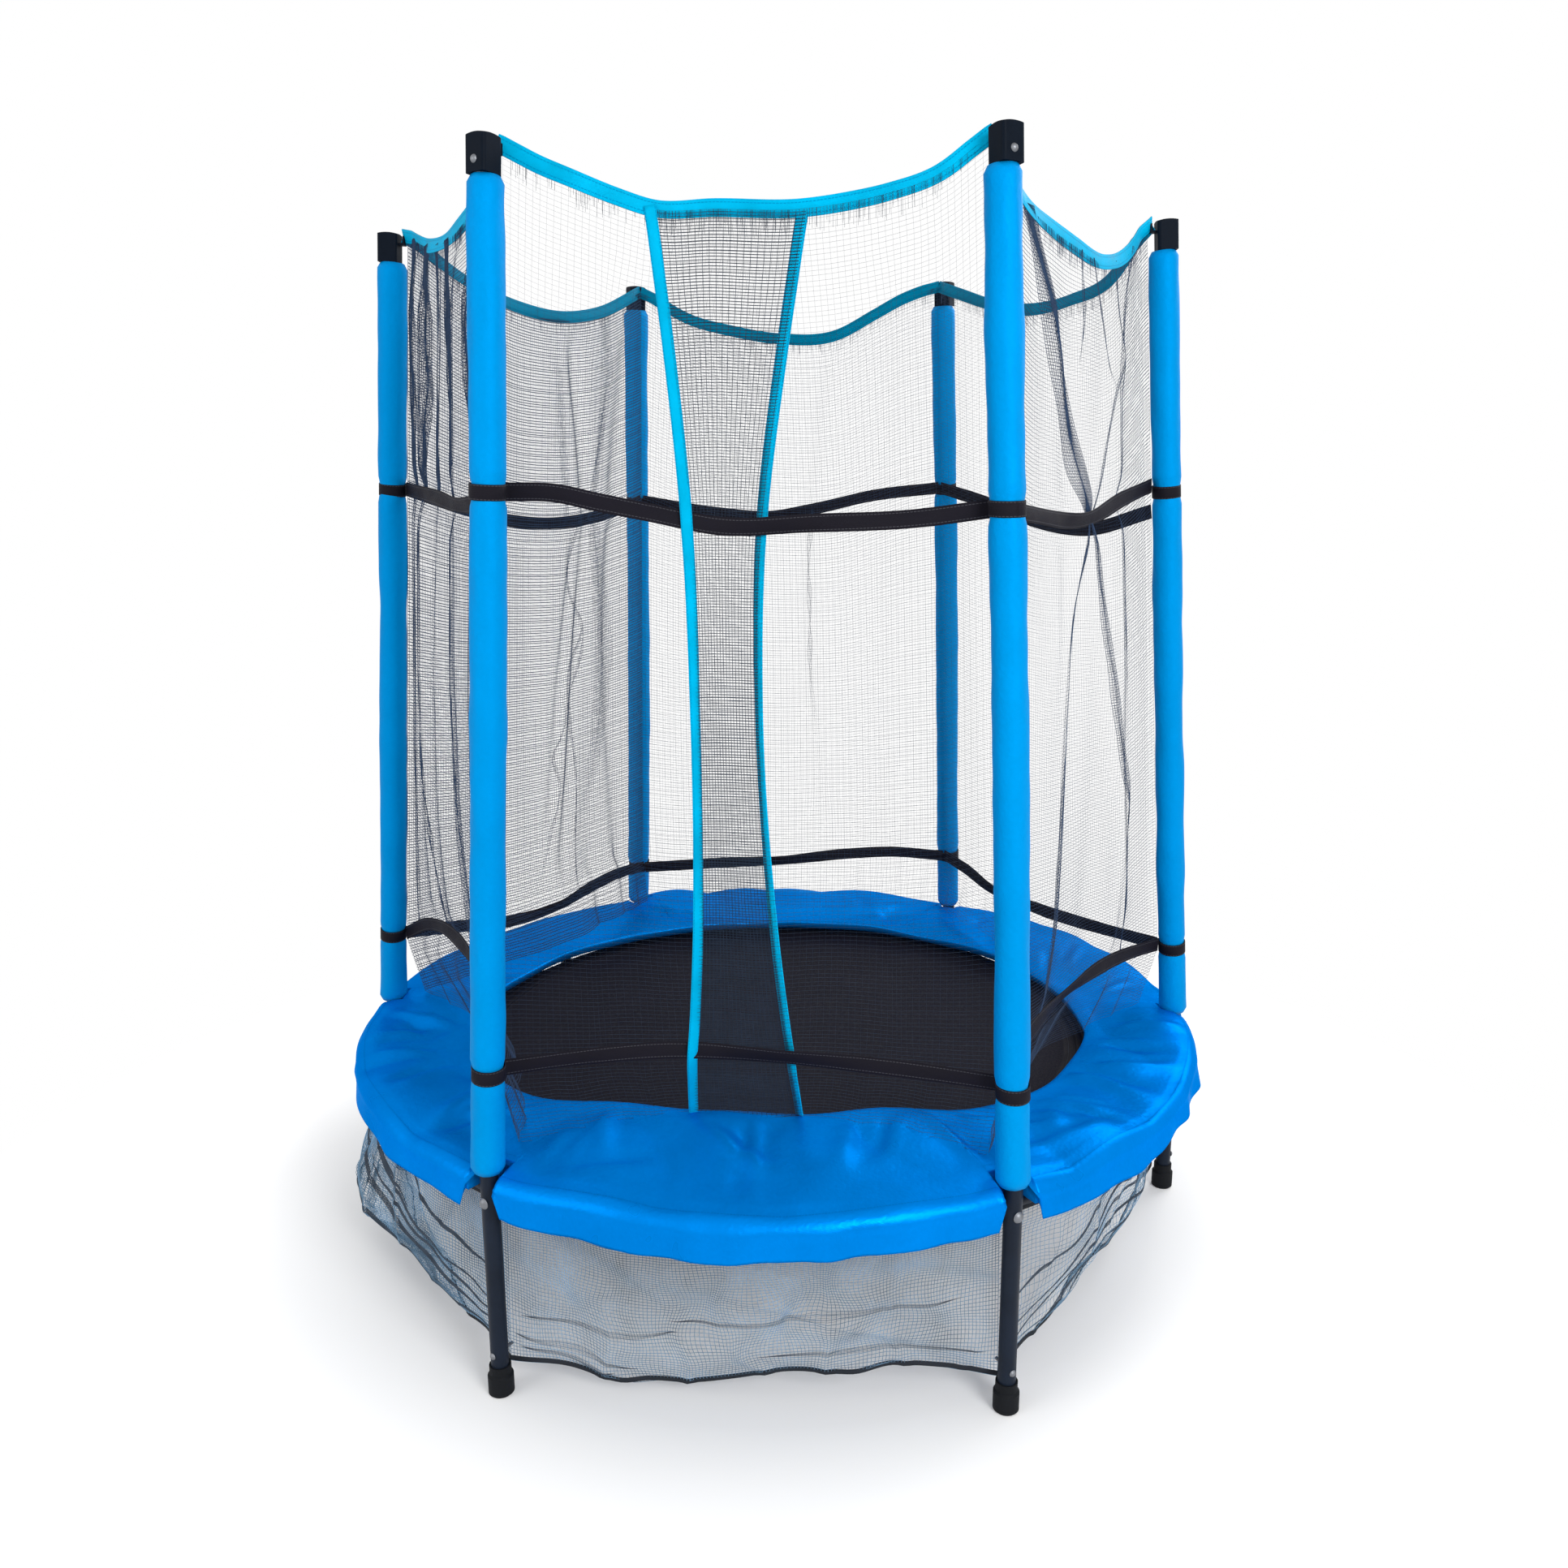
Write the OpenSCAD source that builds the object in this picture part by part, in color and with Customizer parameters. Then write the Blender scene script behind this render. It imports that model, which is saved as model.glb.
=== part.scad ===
// Round children's trampoline with a six-sided safety net round the mat.
// Millimetres, +Z up, origin on the floor below the centre of the mat.
// Uprights are numbered counter-clockwise from +X. The net's door is on the -Y side.

/* [Frame] */
// Radius of the circle on which the uprights stand
upright_circle_r = 700; // [600:5:850]
// Height of the ring tube's axis above the floor
ring_z = 295; // [250:5:380]
// Outside diameter of the ring, leg and pole tubes
tube_d = 25; // [22:0.5:32]
// Wall of the steel tubes
tube_wall = 1.5; // [1:0.1:2.5]
// Length of the swaged end by which a ring tube plugs into the next
ring_swage_l = 45; // [30:1:60]
// Thickness of the saddle between a leg and the ring
saddle_t = 4; // [2:0.5:8]
// Height of the saddle
saddle_h = 32; // [28:1:45]

/* [Uprights] */
// Height of a leg's top end above the ring's axis
leg_rise = 40; // [25:1:60]
// Length of the swaged end of a pole inside its leg
spigot_l = 65; // [45:1:90]
// Length of a pole above its leg
pole_l = 1290; // [900:10:1600]
// Inward lean of the poles under the pull of the net
pole_lean = 3.8; // [0:0.1:6]
// Outside diameter of the foam sleeves
foam_d = 46; // [38:1:60]
// Radius on the ends of the foam sleeves
foam_end_r = 4; // [1:0.5:6]
// Distance of a pole cap's sides inside the outline of its foam sleeve
cap_step = 7; // [5:0.5:8]
// Height of a pole cap
cap_h = 46; // [40:1:60]
// Depth to which a pole goes into its cap
cap_socket = 27; // [20:1:34]
// Reach of a rubber foot's base outside its leg
foot_rim = 5.5; // [4:0.5:12]
// Wall of a rubber foot's neck
foot_neck_t = 2.7; // [2:0.1:4]
// Height of a rubber foot
foot_h = 44; // [35:1:60]
// Thickness of rubber under a leg
foot_floor = 6; // [3:0.5:12]

/* [Bolts] */
// Diameter of the bolts that hold pole, leg, saddle and ring together
bolt_d = 8; // [6:1:10]
// Diameter of the bolt heads
bolt_head_d = 16; // [13:1:20]
// Height of the bolt heads
bolt_head_h = 4.5; // [3:0.5:6]
// Width of the nuts across their flats
nut_af = 13; // [12:1:17]
// Height of the nuts
nut_h = 6.5; // [5:0.5:8]
// Diameter of the small screws in the caps and at the foot of the legs
screw_d = 4.8; // [4:0.2:6]
// Diameter of the heads of the small screws
screw_head_d = 10; // [8:0.5:12]
// Height of the lower net's screws above the floor
net_screw_z = 62; // [55:1:90]

/* [Mat and springs] */
// Distance from the ring tube to the edge of the mat
spring_span = 108; // [95:1:140]
// Springs on each ring tube
springs_per_tube = 6; // [4:1:8]
// Outside diameter of a spring's body
spring_d = 13; // [10:0.5:18]
// Diameter of the spring wire
spring_wire_d = 2.8; // [2:0.1:3.4]
// Thickness of the mat's fabric
mat_t = 2.4; // [1.5:0.1:4]
// Width of the mat's folded border
mat_border_w = 45; // [30:1:70]
// Thickness of the mat's folded border
mat_border_t = 4; // [3:0.1:6]
// Diameter of the wire of the mat's V-rings
vring_wire_d = 3; // [2:0.1:3.4]
// Length of a V-ring from the mat bar to the spring bar
vring_l = 16; // [14:1:22]

/* [Pad] */
// Width of the padded spring cover
pad_w = 200; // [150:1:210]
// Reach of the spring cover outside the axes of the uprights
pad_overhang = 16; // [10:1:30]
// Thickness of the spring cover at its inner edge
pad_inner_t = 18; // [10:1:30]
// Thickness of the spring cover at its outer edge
pad_edge_t = 33; // [10:1:40]
// Rise of the cover's crown above the straight line between its edges
pad_crown = 9; // [4:0.5:20]
// Thickness of the cover's coated fabric
pad_skin_t = 1.2; // [0.8:0.1:2]
// Drop of the skirt below the top of the cover's edge
skirt_drop = 53; // [40:1:90]
// Outward flare of the skirt at its hem
skirt_flare = 5; // [0:0.5:6]
// Room between a foam sleeve and the cover's notch
notch_clear = 6; // [3:0.5:15]

/* [Net] */
// Thickness of the net's cords
net_t = 1.6; // [1.2:0.1:3]
// Width of the net's cords
net_cord_w = 5; // [3:0.5:8]
// Width of the plain margin round each net panel
net_margin = 9; // [6:1:15]
// Room between a foam sleeve and the net's corner
net_clear = 5.5; // [5:0.5:15]
// Gaps across a net panel
net_columns = 5; // [3:1:6]
// Gaps up a net panel, above the lower strap
net_rows = 6; // [4:1:7]
// Distance of the net's top corners below the tops of the pole caps
net_corner_drop = 5; // [4:1:20]
// Sag of the net's top edge between two poles
hem_sag = 82; // [30:1:120]
// Width of the tape along the top edge and the door's edges
tape_w = 22; // [15:1:30]
// Thickness of the tape
tape_t = 2.4; // [1.8:0.1:4]
// Distance of the net's bottom edge inside the lower strap, at the middle of a side
net_step_in = 23; // [15:1:40]
// Height of the net's bottom edge above the crown of the spring cover
net_lift = 3; // [1:0.5:10]
// Half the width of the doorway's overlap at its waist
door_half_waist = 42; // [30:1:60]
// Half the width of the doorway's overlap at its ends
door_half_end = 85; // [70:1:120]
// Sideways place of the doorway from the middle of its side
door_shift = -22; // [-60:1:60]

/* [Straps] */
// Width of the webbing straps
strap_w = 23; // [12:1:40]
// Thickness of the webbing
strap_t = 2; // [1.2:0.1:3]
// Height of the lower strap above the tops of the legs
lower_strap_rise = 115; // [100:1:200]
// Height of the upper strap above the tops of the legs
upper_strap_rise = 890; // [500:5:1100]
// Sag of the lower strap between two poles
lower_strap_sag = 25; // [10:1:60]
// Sag of the upper strap between two poles
upper_strap_sag = 42; // [10:1:60]

/* [Lower net] */
// Height of the lower net's bottom hem above the floor
lower_net_z = 26; // [15:1:60]
// Height of the lower net's bottom hem
lower_hem_h = 12; // [10:1:30]
// Outward bow of the bottom hem between two legs
lower_hem_bow = 22; // [0:1:60]
// Outward belly of the lower net between ring and hem
lower_net_belly = 26; // [0:1:40]
// Gaps across a panel of the lower net
lower_net_columns = 5; // [3:1:5]

/* [Clearances] */
// Gap where one piece seats on another
seat_gap = 0.3; // [0.2:0.1:0.5]
// Clearance of a swaged tube end in the next tube, on the diameter
swage_clear = 0.4; // [0.2:0.1:1]
// Clearance of a bolt, screw or spring wire in its hole, on the diameter
hole_clear = 0.6; // [0.4:0.1:1.2]
// Clearance of a foam sleeve, cap or foot on its tube, on the diameter
sleeve_clear = 0.6; // [0.4:0.1:1.2]

/* [Hidden] */
$fn = 64;
sides = 6;
step = 360 / sides;
door_side = 4;
eps = 0.01;

tube_bore = tube_d - 2 * tube_wall;
swage_d = tube_bore - swage_clear;
ring_r = upright_circle_r - tube_d - saddle_t;
ring_top_z = ring_z + tube_d / 2;
leg_top_z = ring_z + leg_rise;
half_swage_angle = asin(ring_swage_l / 2 / ring_r);
gap_angle = asin(seat_gap / ring_r);

cap_w = foam_d - 2 * cap_step;
cap_crown_r = 60;
cap_corner_r = 5;
cap_lug_w = 12;
cap_lug_wall = 3;
cap_lug_h = 14;
screw_head_h = 3;
cap_screw_drop = 13;
foot_d = tube_d + 2 * foot_rim;
foot_neck_d = tube_d + 2 * foot_neck_t;
foot_base_h = 28;
foot_chamfer = 2;
saddle_w = 27;
saddle_grip = 6;
bolt_tail = 4;

// Springs, V-rings and tabs, as radii from the centre of the mat
ring_inner_r = ring_r - tube_d / 2;
mat_r = ring_inner_r - spring_span;
vring_bar_r = mat_r + 5;
vring_tip_r = vring_bar_r + vring_l;
vring_base_w = 26;
vring_tip_w = 10;
vring_knuckle_d = vring_wire_d + 0.8;
hook_r = vring_wire_d / 2 + spring_wire_d / 2 + 2;
hook_slack = hook_r - spring_wire_d / 2 - vring_wire_d / 2 - seat_gap;
hook_centre_r = vring_tip_r + hook_slack;
spring_body_in_r = hook_centre_r + hook_r;
spring_body_out_r = ring_inner_r - 8;
spring_nose_l = 5;
spring_hook_up = 6;
tab_w = 16;
tab_t = 1.4;
tab_l = 38;
tab_loop_r = vring_wire_d / 2 + seat_gap;

// Padded spring cover
pad_outer_r = upright_circle_r + pad_overhang;
pad_inner_r = pad_outer_r - pad_w;
pad_mid_r = pad_outer_r - pad_w / 2;
pad_z = ring_top_z + seat_gap;
pad_t = pad_edge_t + pad_crown;
pad_slope = atan((pad_edge_t - pad_inner_t) / pad_w);
pad_chord = pad_w / cos(pad_slope);
pad_crown_r = (pow(pad_chord / 2, 2) + pow(pad_crown, 2)) / (2 * pad_crown);
notch_w = foam_d + 2 * notch_clear;
notch_inner_r = upright_circle_r - foam_d / 2 - notch_clear;

// Net planes: a hexagon whose corners follow the leaning poles
half_turn = step / 2;
net_inset = foam_d / 2 + net_clear;
net_z0 = leg_top_z + lower_strap_rise;
net_r0 = upright_circle_r - lower_strap_rise * tan(pole_lean) - net_inset;
net_a0 = net_r0 * cos(half_turn);
net_tilt = atan(tan(pole_lean) * cos(half_turn));
net_half0 = net_r0 * sin(half_turn);
net_taper = tan(pole_lean) * sin(half_turn) * cos(net_tilt);
net_edge_gap = corner_gap(net_t);
net_top_z = leg_top_z + (pole_l - cap_socket + cap_h) * cos(pole_lean) - net_corner_drop;
net_h = (net_top_z - net_z0) / cos(net_tilt);
hem_half = net_half0 - net_taper * net_h;
hem_r = (pow(hem_half, 2) + pow(hem_sag, 2)) / (2 * hem_sag);
hem_centre = net_h - hem_sag + hem_r;
net_bottom_z = pad_z + pad_t + net_lift;
net_fold = atan(net_step_in / (net_z0 - net_bottom_z));
net_fold_l = (net_z0 - net_bottom_z) / cos(net_fold);
net_half1 = (net_a0 - net_step_in) * tan(half_turn);
net_lap = 1;
flap_off = net_t / 2 + seat_gap;
door_bow = door_half_end - door_half_waist;
door_edge_r = (pow(net_h / 2, 2) + pow(door_bow, 2)) / (2 * door_bow);
strap_overrun = 2;

// Lower net: hung under the ring, drawn straight between the legs at its hem
lower_top_z = ring_z - tube_d / 2 - seat_gap;
lower_corner_r = upright_circle_r - foot_d / 2 - tape_t - seat_gap;
net_screw_tail = 4;
lower_strips = 8;

// Gap to leave at a corner of the hexagon so that sheets of a thickness don't cross there
function corner_gap(thickness) = thickness / 2 * tan(half_turn) + seat_gap / 2;

function numbered(name) = [for (i = [1:sides]) str(name, "_", i)];

// Frames of reference

// Foot of upright i, on the floor, with X pointing out
module at_upright(i) {
    rotate([0, 0, step * i]) translate([upright_circle_r, 0, 0]) children();
}

// Top of leg i, with Z along the leaning pole
module at_pole(i) {
    at_upright(i) translate([0, 0, leg_top_z]) rotate([0, -pole_lean, 0]) children();
}

// Lower end of pole cap i, with Z along the pole
module at_cap(i) {
    at_pole(i) translate([0, 0, pole_l - cap_socket]) children();
}

// Every upright in turn
module each_upright() {
    for (i = [0:sides - 1]) at_upright(i) children();
}

// Every spring in turn, with X pointing out at the height of the mat
module each_spring() {
    spacing = step / springs_per_tube;
    for (i = [0:sides * springs_per_tube - 1]) {
        rotate([0, 0, spacing * (i + 0.5)]) translate([0, 0, ring_z]) children();
    }
}

// Plane of the net between uprights i and i + 1, at the lower strap: X out, Y along the side, Z up the net
module at_side(i) {
    rotate([0, 0, step * i + half_turn]) translate([net_a0, 0, net_z0]) rotate([0, -net_tilt, 0]) children();
}

// The same place, with Z up the part of the net that turns in to the spring cover
module at_side_fold(i) {
    rotate([0, 0, step * i + half_turn]) translate([net_a0, 0, net_z0]) rotate([0, net_fold, 0]) children();
}

// A sheet in the plane of a side, from its flat outline
module sheet(thickness, off) {
    translate([off - thickness / 2, 0, 0]) rotate([90, 0, 90]) linear_extrude(thickness) children();
}

// Shared shapes

module tube(outer, inner, length) {
    difference() {
        cylinder(d = outer, h = length);
        translate([0, 0, -1]) cylinder(d = inner, h = length + 2);
    }
}

// A wire or rod along X
module rod(d, from, to) {
    translate([from, 0, 0]) rotate([0, 90, 0]) cylinder(d = d, h = to - from);
}

module dome_head(d, h) {
    r = (pow(d / 2, 2) + pow(h, 2)) / (2 * h);
    intersection() {
        translate([0, 0, h - r]) sphere(r = r);
        cylinder(d = d, h = h);
    }
}

module ring_arc(r, from, to) {
    rotate([0, 0, from]) rotate_extrude(angle = to - from, $fn = 180) translate([ring_r, 0]) circle(r = r);
}

module rounded_square(w, r) {
    square([w - 2 * r, w], center = true);
    square([w, w - 2 * r], center = true);
    for (x = [-1, 1], y = [-1, 1]) translate([x, y] * (w / 2 - r)) circle(r = r);
}

// Steel frame

module ring_tube(i) {
    start = step * i - half_swage_angle;
    end = start + step - gap_angle;
    spacing = step / springs_per_tube;
    color("darkslategray") difference() {
        union() {
            ring_arc_at(tube_d / 2, start, end);
            ring_arc_at(swage_d / 2, end - half_swage_angle, end + 2 * half_swage_angle);
        }
        ring_arc_at(tube_bore / 2, start - 1, end - half_swage_angle);
        ring_arc_at(swage_d / 2 - tube_wall, end - 2 * half_swage_angle, end + 3 * half_swage_angle);
        for (n = [0, 1]) rotate([0, 0, step * (i + n)]) translate([0, 0, ring_z]) {
            rod(bolt_d + hole_clear, ring_r - tube_d, ring_r + tube_d);
        }
        for (n = [0:springs_per_tube - 1]) {
            rotate([0, 0, step * i + spacing * (n + 0.5)]) translate([0, 0, ring_z]) {
                rod(spring_wire_d + hole_clear, ring_inner_r - 2, ring_r);
            }
        }
    }
}

module ring_arc_at(r, from, to) {
    translate([0, 0, ring_z]) ring_arc(r, from, to);
}

module leg(i) {
    bottom = foot_floor + seat_gap;
    color("darkslategray") at_upright(i) difference() {
        translate([0, 0, bottom]) tube(tube_d, tube_bore, leg_top_z - bottom);
        translate([0, 0, ring_z]) rod(bolt_d + hole_clear, -tube_d, tube_d);
        translate([0, 0, net_screw_z]) rod(screw_d + hole_clear, -tube_d, tube_d);
    }
}

module pole(i) {
    spigot_z = leg_top_z - spigot_l;
    color("lightsteelblue") difference() {
        union() {
            at_upright(i) translate([0, 0, spigot_z]) cylinder(d = swage_d, h = spigot_l + 2 * tube_wall);
            difference() {
                at_pole(i) translate([0, 0, -tube_d]) cylinder(d = tube_d, h = pole_l + tube_d);
                at_upright(i) translate([0, 0, leg_top_z + seat_gap - tube_d]) cube(2 * tube_d, center = true);
            }
        }
        at_upright(i) translate([0, 0, spigot_z - 1]) cylinder(d = swage_d - 2 * tube_wall, h = spigot_l + 8);
        at_pole(i) translate([0, 0, 4]) cylinder(d = tube_bore, h = pole_l);
        at_upright(i) translate([0, 0, ring_z]) rod(bolt_d + hole_clear, -tube_d, tube_d);
        at_cap(i) translate([0, 0, cap_socket - cap_screw_drop]) rod(screw_d + hole_clear, 0, tube_d);
    }
}

module foam_sleeve(i) {
    outer = foam_d / 2;
    inner = (tube_d + sleeve_clear) / 2;
    bottom = 2;
    top = pole_l - cap_socket - seat_gap;
    end_r = min(foam_end_r, (outer - inner) / 2);
    color("deepskyblue") at_pole(i) rotate_extrude() {
        translate([inner, bottom]) square([outer - end_r - inner, top - bottom]);
        translate([inner, bottom + end_r]) square([outer - inner, top - bottom - 2 * end_r]);
        for (z = [bottom + end_r, top - end_r]) translate([outer - end_r, z]) circle(r = end_r);
    }
}

module pole_cap(i) {
    lug_l = net_inset - cap_w / 2 - tape_t / cos(half_turn) - seat_gap;
    lug_z = cap_h - net_corner_drop - cap_lug_h;
    color("black") at_cap(i) difference() {
        union() {
            intersection() {
                linear_extrude(cap_h) rounded_square(cap_w, cap_corner_r);
                translate([0, 0, cap_h - cap_crown_r]) sphere(r = cap_crown_r, $fn = 96);
            }
            translate([-cap_w / 2 + eps, cap_lug_w / 2, lug_z]) rotate([90, 0, 0]) linear_extrude(cap_lug_w) {
                translate([-lug_l, 0]) square([lug_l, cap_lug_wall]);
                translate([-lug_l, 0]) square([cap_lug_wall, cap_lug_h]);
            }
        }
        translate([0, 0, -1]) cylinder(d = tube_d + sleeve_clear, h = cap_socket + seat_gap + 1);
        translate([0, 0, cap_socket - cap_screw_drop]) rod(screw_d + hole_clear, 0, cap_w);
    }
}

module rubber_feet() {
    bore = (tube_d + sleeve_clear) / 2;
    neck = foot_neck_d / 2;
    color("black") each_upright() rotate_extrude() polygon([
        [0, 0],
        [foot_d / 2 - foot_chamfer, 0],
        [foot_d / 2, foot_chamfer],
        [foot_d / 2, foot_base_h],
        [neck, foot_base_h + foot_d / 2 - neck],
        [neck, foot_h],
        [bore, foot_h],
        [bore, foot_floor],
        [0, foot_floor]
    ]);
}

module saddle_spacers() {
    depth = saddle_t + 2 * saddle_grip;
    color("dimgray") difference() {
        each_upright() translate([-(tube_d + saddle_t) / 2, 0, ring_z]) {
            cube([depth, saddle_w, saddle_h], center = true);
        }
        each_upright() {
            cylinder(d = tube_d + 2 * seat_gap, h = leg_top_z);
            translate([0, 0, ring_z]) rod(bolt_d + hole_clear, -tube_d - saddle_t, 0);
        }
        ring_arc_at(tube_d / 2 + seat_gap, 0, 360);
    }
}

// Fasteners

module frame_bolts() {
    head_x = tube_d / 2 + seat_gap;
    tail_x = ring_inner_r - upright_circle_r - nut_h - bolt_tail;
    color("silver") each_upright() translate([0, 0, ring_z]) {
        rod(bolt_d, tail_x, head_x + eps);
        translate([head_x, 0, 0]) rotate([0, 90, 0]) dome_head(bolt_head_d, bolt_head_h);
    }
}

module frame_nuts() {
    nut_x = ring_inner_r - upright_circle_r - seat_gap - nut_h;
    color("silver") each_upright() translate([nut_x, 0, ring_z]) rotate([0, 90, 0]) difference() {
        cylinder(d = nut_af / cos(30), h = nut_h, $fn = 6);
        translate([0, 0, -1]) cylinder(d = bolt_d + seat_gap, h = nut_h + 2);
    }
}

module small_screw(from, to) {
    rod(screw_d, to, from + eps);
    translate([from, 0, 0]) rotate([0, 90, 0]) dome_head(screw_head_d, screw_head_h);
}

module cap_screws() {
    color("silver") for (i = [0:sides - 1]) {
        at_cap(i) translate([0, 0, cap_socket - cap_screw_drop]) small_screw(cap_w / 2, tube_d / 2 - 4);
    }
}

module net_screws() {
    color("silver") each_upright() translate([0, 0, net_screw_z]) {
        small_screw(tube_d / 2 + seat_gap, lower_corner_r - upright_circle_r - net_screw_tail);
    }
}

// Jumping surface

module jump_mat() {
    color("dimgray") translate([0, 0, ring_z]) rotate_extrude($fn = 180) {
        translate([0, -mat_t / 2]) square([mat_r - mat_border_w + eps, mat_t]);
        translate([mat_r - mat_border_w, -mat_border_t / 2]) square([mat_border_w, mat_border_t]);
    }
}

// Webbing tabs, each folded round the mat bar of a V-ring and sewn under the mat's border
module mat_tabs() {
    color("black") each_spring() translate([vring_bar_r, tab_w / 2, 0]) rotate([90, 0, 0]) linear_extrude(tab_w) {
        difference() {
            union() {
                circle(r = tab_loop_r + tab_t);
                translate([-tab_l, -mat_border_t / 2 - tab_t - seat_gap / 2]) square([tab_l, tab_t]);
            }
            circle(r = tab_loop_r);
        }
    }
}

// A straight wire from one point to another, with a knuckle at its far end
module wire(from, to, d, knuckle_d) {
    along = to - from;
    translate(from) rotate([0, 0, atan2(along[1], along[0])]) rod(d, 0, norm(along));
    translate(to) sphere(d = knuckle_d);
}

module mat_rings() {
    corners = [
        [vring_bar_r, -vring_base_w / 2],
        [vring_tip_r, -vring_tip_w / 2],
        [vring_tip_r, vring_tip_w / 2],
        [vring_bar_r, vring_base_w / 2]
    ];
    color("silver") each_spring() for (n = [0:3]) {
        wire(corners[n], corners[(n + 1) % 4], vring_wire_d, vring_knuckle_d);
    }
}

// Each spring hooks over the tip of a V-ring and through a hole in the inner wall of the ring tube
module springs() {
    color("silver") each_spring() {
        translate([hook_centre_r, 0, 0]) rotate([90, 0, 0]) rotate_extrude($fn = 32) {
            translate([hook_r, 0]) circle(d = spring_wire_d, $fn = 24);
        }
        rotate([0, 90, 0]) rotate_extrude() polygon([
            [0, spring_body_in_r],
            [spring_wire_d / 2, spring_body_in_r],
            [spring_d / 2, spring_body_in_r + spring_nose_l],
            [spring_d / 2, spring_body_out_r - spring_nose_l],
            [spring_wire_d / 2, spring_body_out_r],
            [0, spring_body_out_r]
        ]);
        rod(spring_wire_d, spring_body_out_r - eps, ring_inner_r + tube_wall + spring_wire_d);
        translate([ring_inner_r + tube_wall + spring_wire_d, 0, -spring_wire_d / 2]) {
            cylinder(d = spring_wire_d, h = spring_hook_up);
        }
    }
}

// Padded spring cover

// Section of the pad, drawn in on every side by inset
module pad_section(inset) {
    intersection() {
        translate([pad_inner_r + inset, pad_z + inset]) square([pad_w - 2 * inset, pad_t - 2 * inset]);
        translate([pad_mid_r, pad_z + (pad_inner_t + pad_edge_t) / 2]) rotate(pad_slope) {
            translate([0, pad_crown - pad_crown_r]) circle(r = pad_crown_r - inset, $fn = 180);
        }
    }
}

// Notches round the uprights, made larger on every side by grow
module pad_notches(grow) {
    bottom = pad_z - skirt_drop - pad_t;
    for (i = [0:sides - 1]) rotate([0, 0, step * i]) {
        translate([notch_inner_r - grow, -notch_w / 2 - grow, bottom]) {
            cube([pad_outer_r, notch_w + 2 * grow, 3 * pad_t + skirt_drop]);
        }
    }
}

module pad_body(inset) {
    difference() {
        rotate_extrude($fn = 180) pad_section(inset);
        pad_notches(inset);
    }
}

module pad_cover() {
    skirt_top = pad_z + pad_edge_t;
    skirt_low = skirt_top - skirt_drop;
    color("dodgerblue") {
        difference() {
            pad_body(0);
            pad_body(pad_skin_t);
        }
        difference() {
            rotate_extrude($fn = 180) polygon([
                [pad_outer_r - pad_skin_t, skirt_top],
                [pad_outer_r, skirt_top],
                [pad_outer_r + skirt_flare, skirt_low],
                [pad_outer_r + skirt_flare - pad_skin_t, skirt_low],
                [pad_outer_r - pad_skin_t, pad_z]
            ]);
            pad_notches(0);
        }
    }
}

module pad_foam() {
    color("white") difference() {
        pad_body(pad_skin_t + seat_gap);
        for (i = [0:sides - 1]) rotate([0, 0, step * i]) {
            translate([0, -seat_gap, pad_z]) cube([pad_outer_r, 2 * seat_gap, pad_t]);
        }
    }
}

// Safety net

// Flat outline of a side above the lower strap, drawn in by inset, without its sagging top edge
module side_outline(inset) {
    half0 = net_half0 - net_edge_gap - inset;
    half1 = hem_half - net_edge_gap - inset;
    polygon([[-half0, inset - net_lap], [half0, inset - net_lap], [half1, net_h], [-half1, net_h]]);
}

// Flat outline of the same side below the lower strap
module fold_outline(inset) {
    half0 = net_half0 - net_edge_gap - inset;
    half1 = net_half1 - net_edge_gap - inset;
    low = -net_fold_l + inset;
    polygon([[-half1, low], [half1, low], [half0, net_lap - inset], [-half0, net_lap - inset]]);
}

module net_outline(inset) {
    difference() {
        side_outline(inset);
        translate([0, hem_centre]) circle(r = hem_r + tape_w + seat_gap + inset, $fn = 180);
    }
}

// Openings of the net, as rows of rectangles
module net_gaps(columns, rows, width, height) {
    cell = [width / columns, height / rows];
    for (c = [0:columns - 1], r = [0:rows - 1]) {
        translate([(c - columns / 2) * cell[0], r * cell[1]] + [net_cord_w, net_cord_w] / 2) {
            square(cell - [net_cord_w, net_cord_w]);
        }
    }
}

module upper_gaps() {
    net_gaps(net_columns, net_rows, 2 * net_half0, net_h);
}

module lower_gaps() {
    translate([0, -net_fold_l]) net_gaps(net_columns, 1, 2 * net_half0, net_fold_l);
}

module net_panel(n) {
    i = (door_side + n) % sides;
    color("gray") {
        at_side(i) sheet(net_t, 0) difference() {
            net_outline(0);
            intersection() {
                net_outline(net_margin);
                upper_gaps();
            }
        }
        at_side_fold(i) sheet(net_t, 0) difference() {
            fold_outline(0);
            intersection() {
                fold_outline(net_margin);
                lower_gaps();
            }
        }
    }
}

// The area on the closed side of a doorway edge: hand 1 is the edge of the left flap, -1 of the right flap
module beyond_edge(hand, inset) {
    translate([door_shift + hand * (door_half_waist + door_edge_r), net_h / 2]) {
        circle(r = door_edge_r + inset, $fn = 360);
    }
}

module beyond_edge_fold(hand, inset) {
    edge = door_shift + hand * (door_half_end - inset);
    translate([hand > 0 ? edge : edge - net_half0 * 2, -net_fold_l - 1]) square([net_half0 * 2, net_fold_l + 3]);
}

module flap_outline(hand, inset) {
    difference() {
        net_outline(inset);
        beyond_edge(hand, tape_w + seat_gap + inset);
    }
}

module flap_fold_outline(hand, inset) {
    difference() {
        fold_outline(inset);
        beyond_edge_fold(hand, tape_w + 3 * seat_gap + inset);
    }
}

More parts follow.
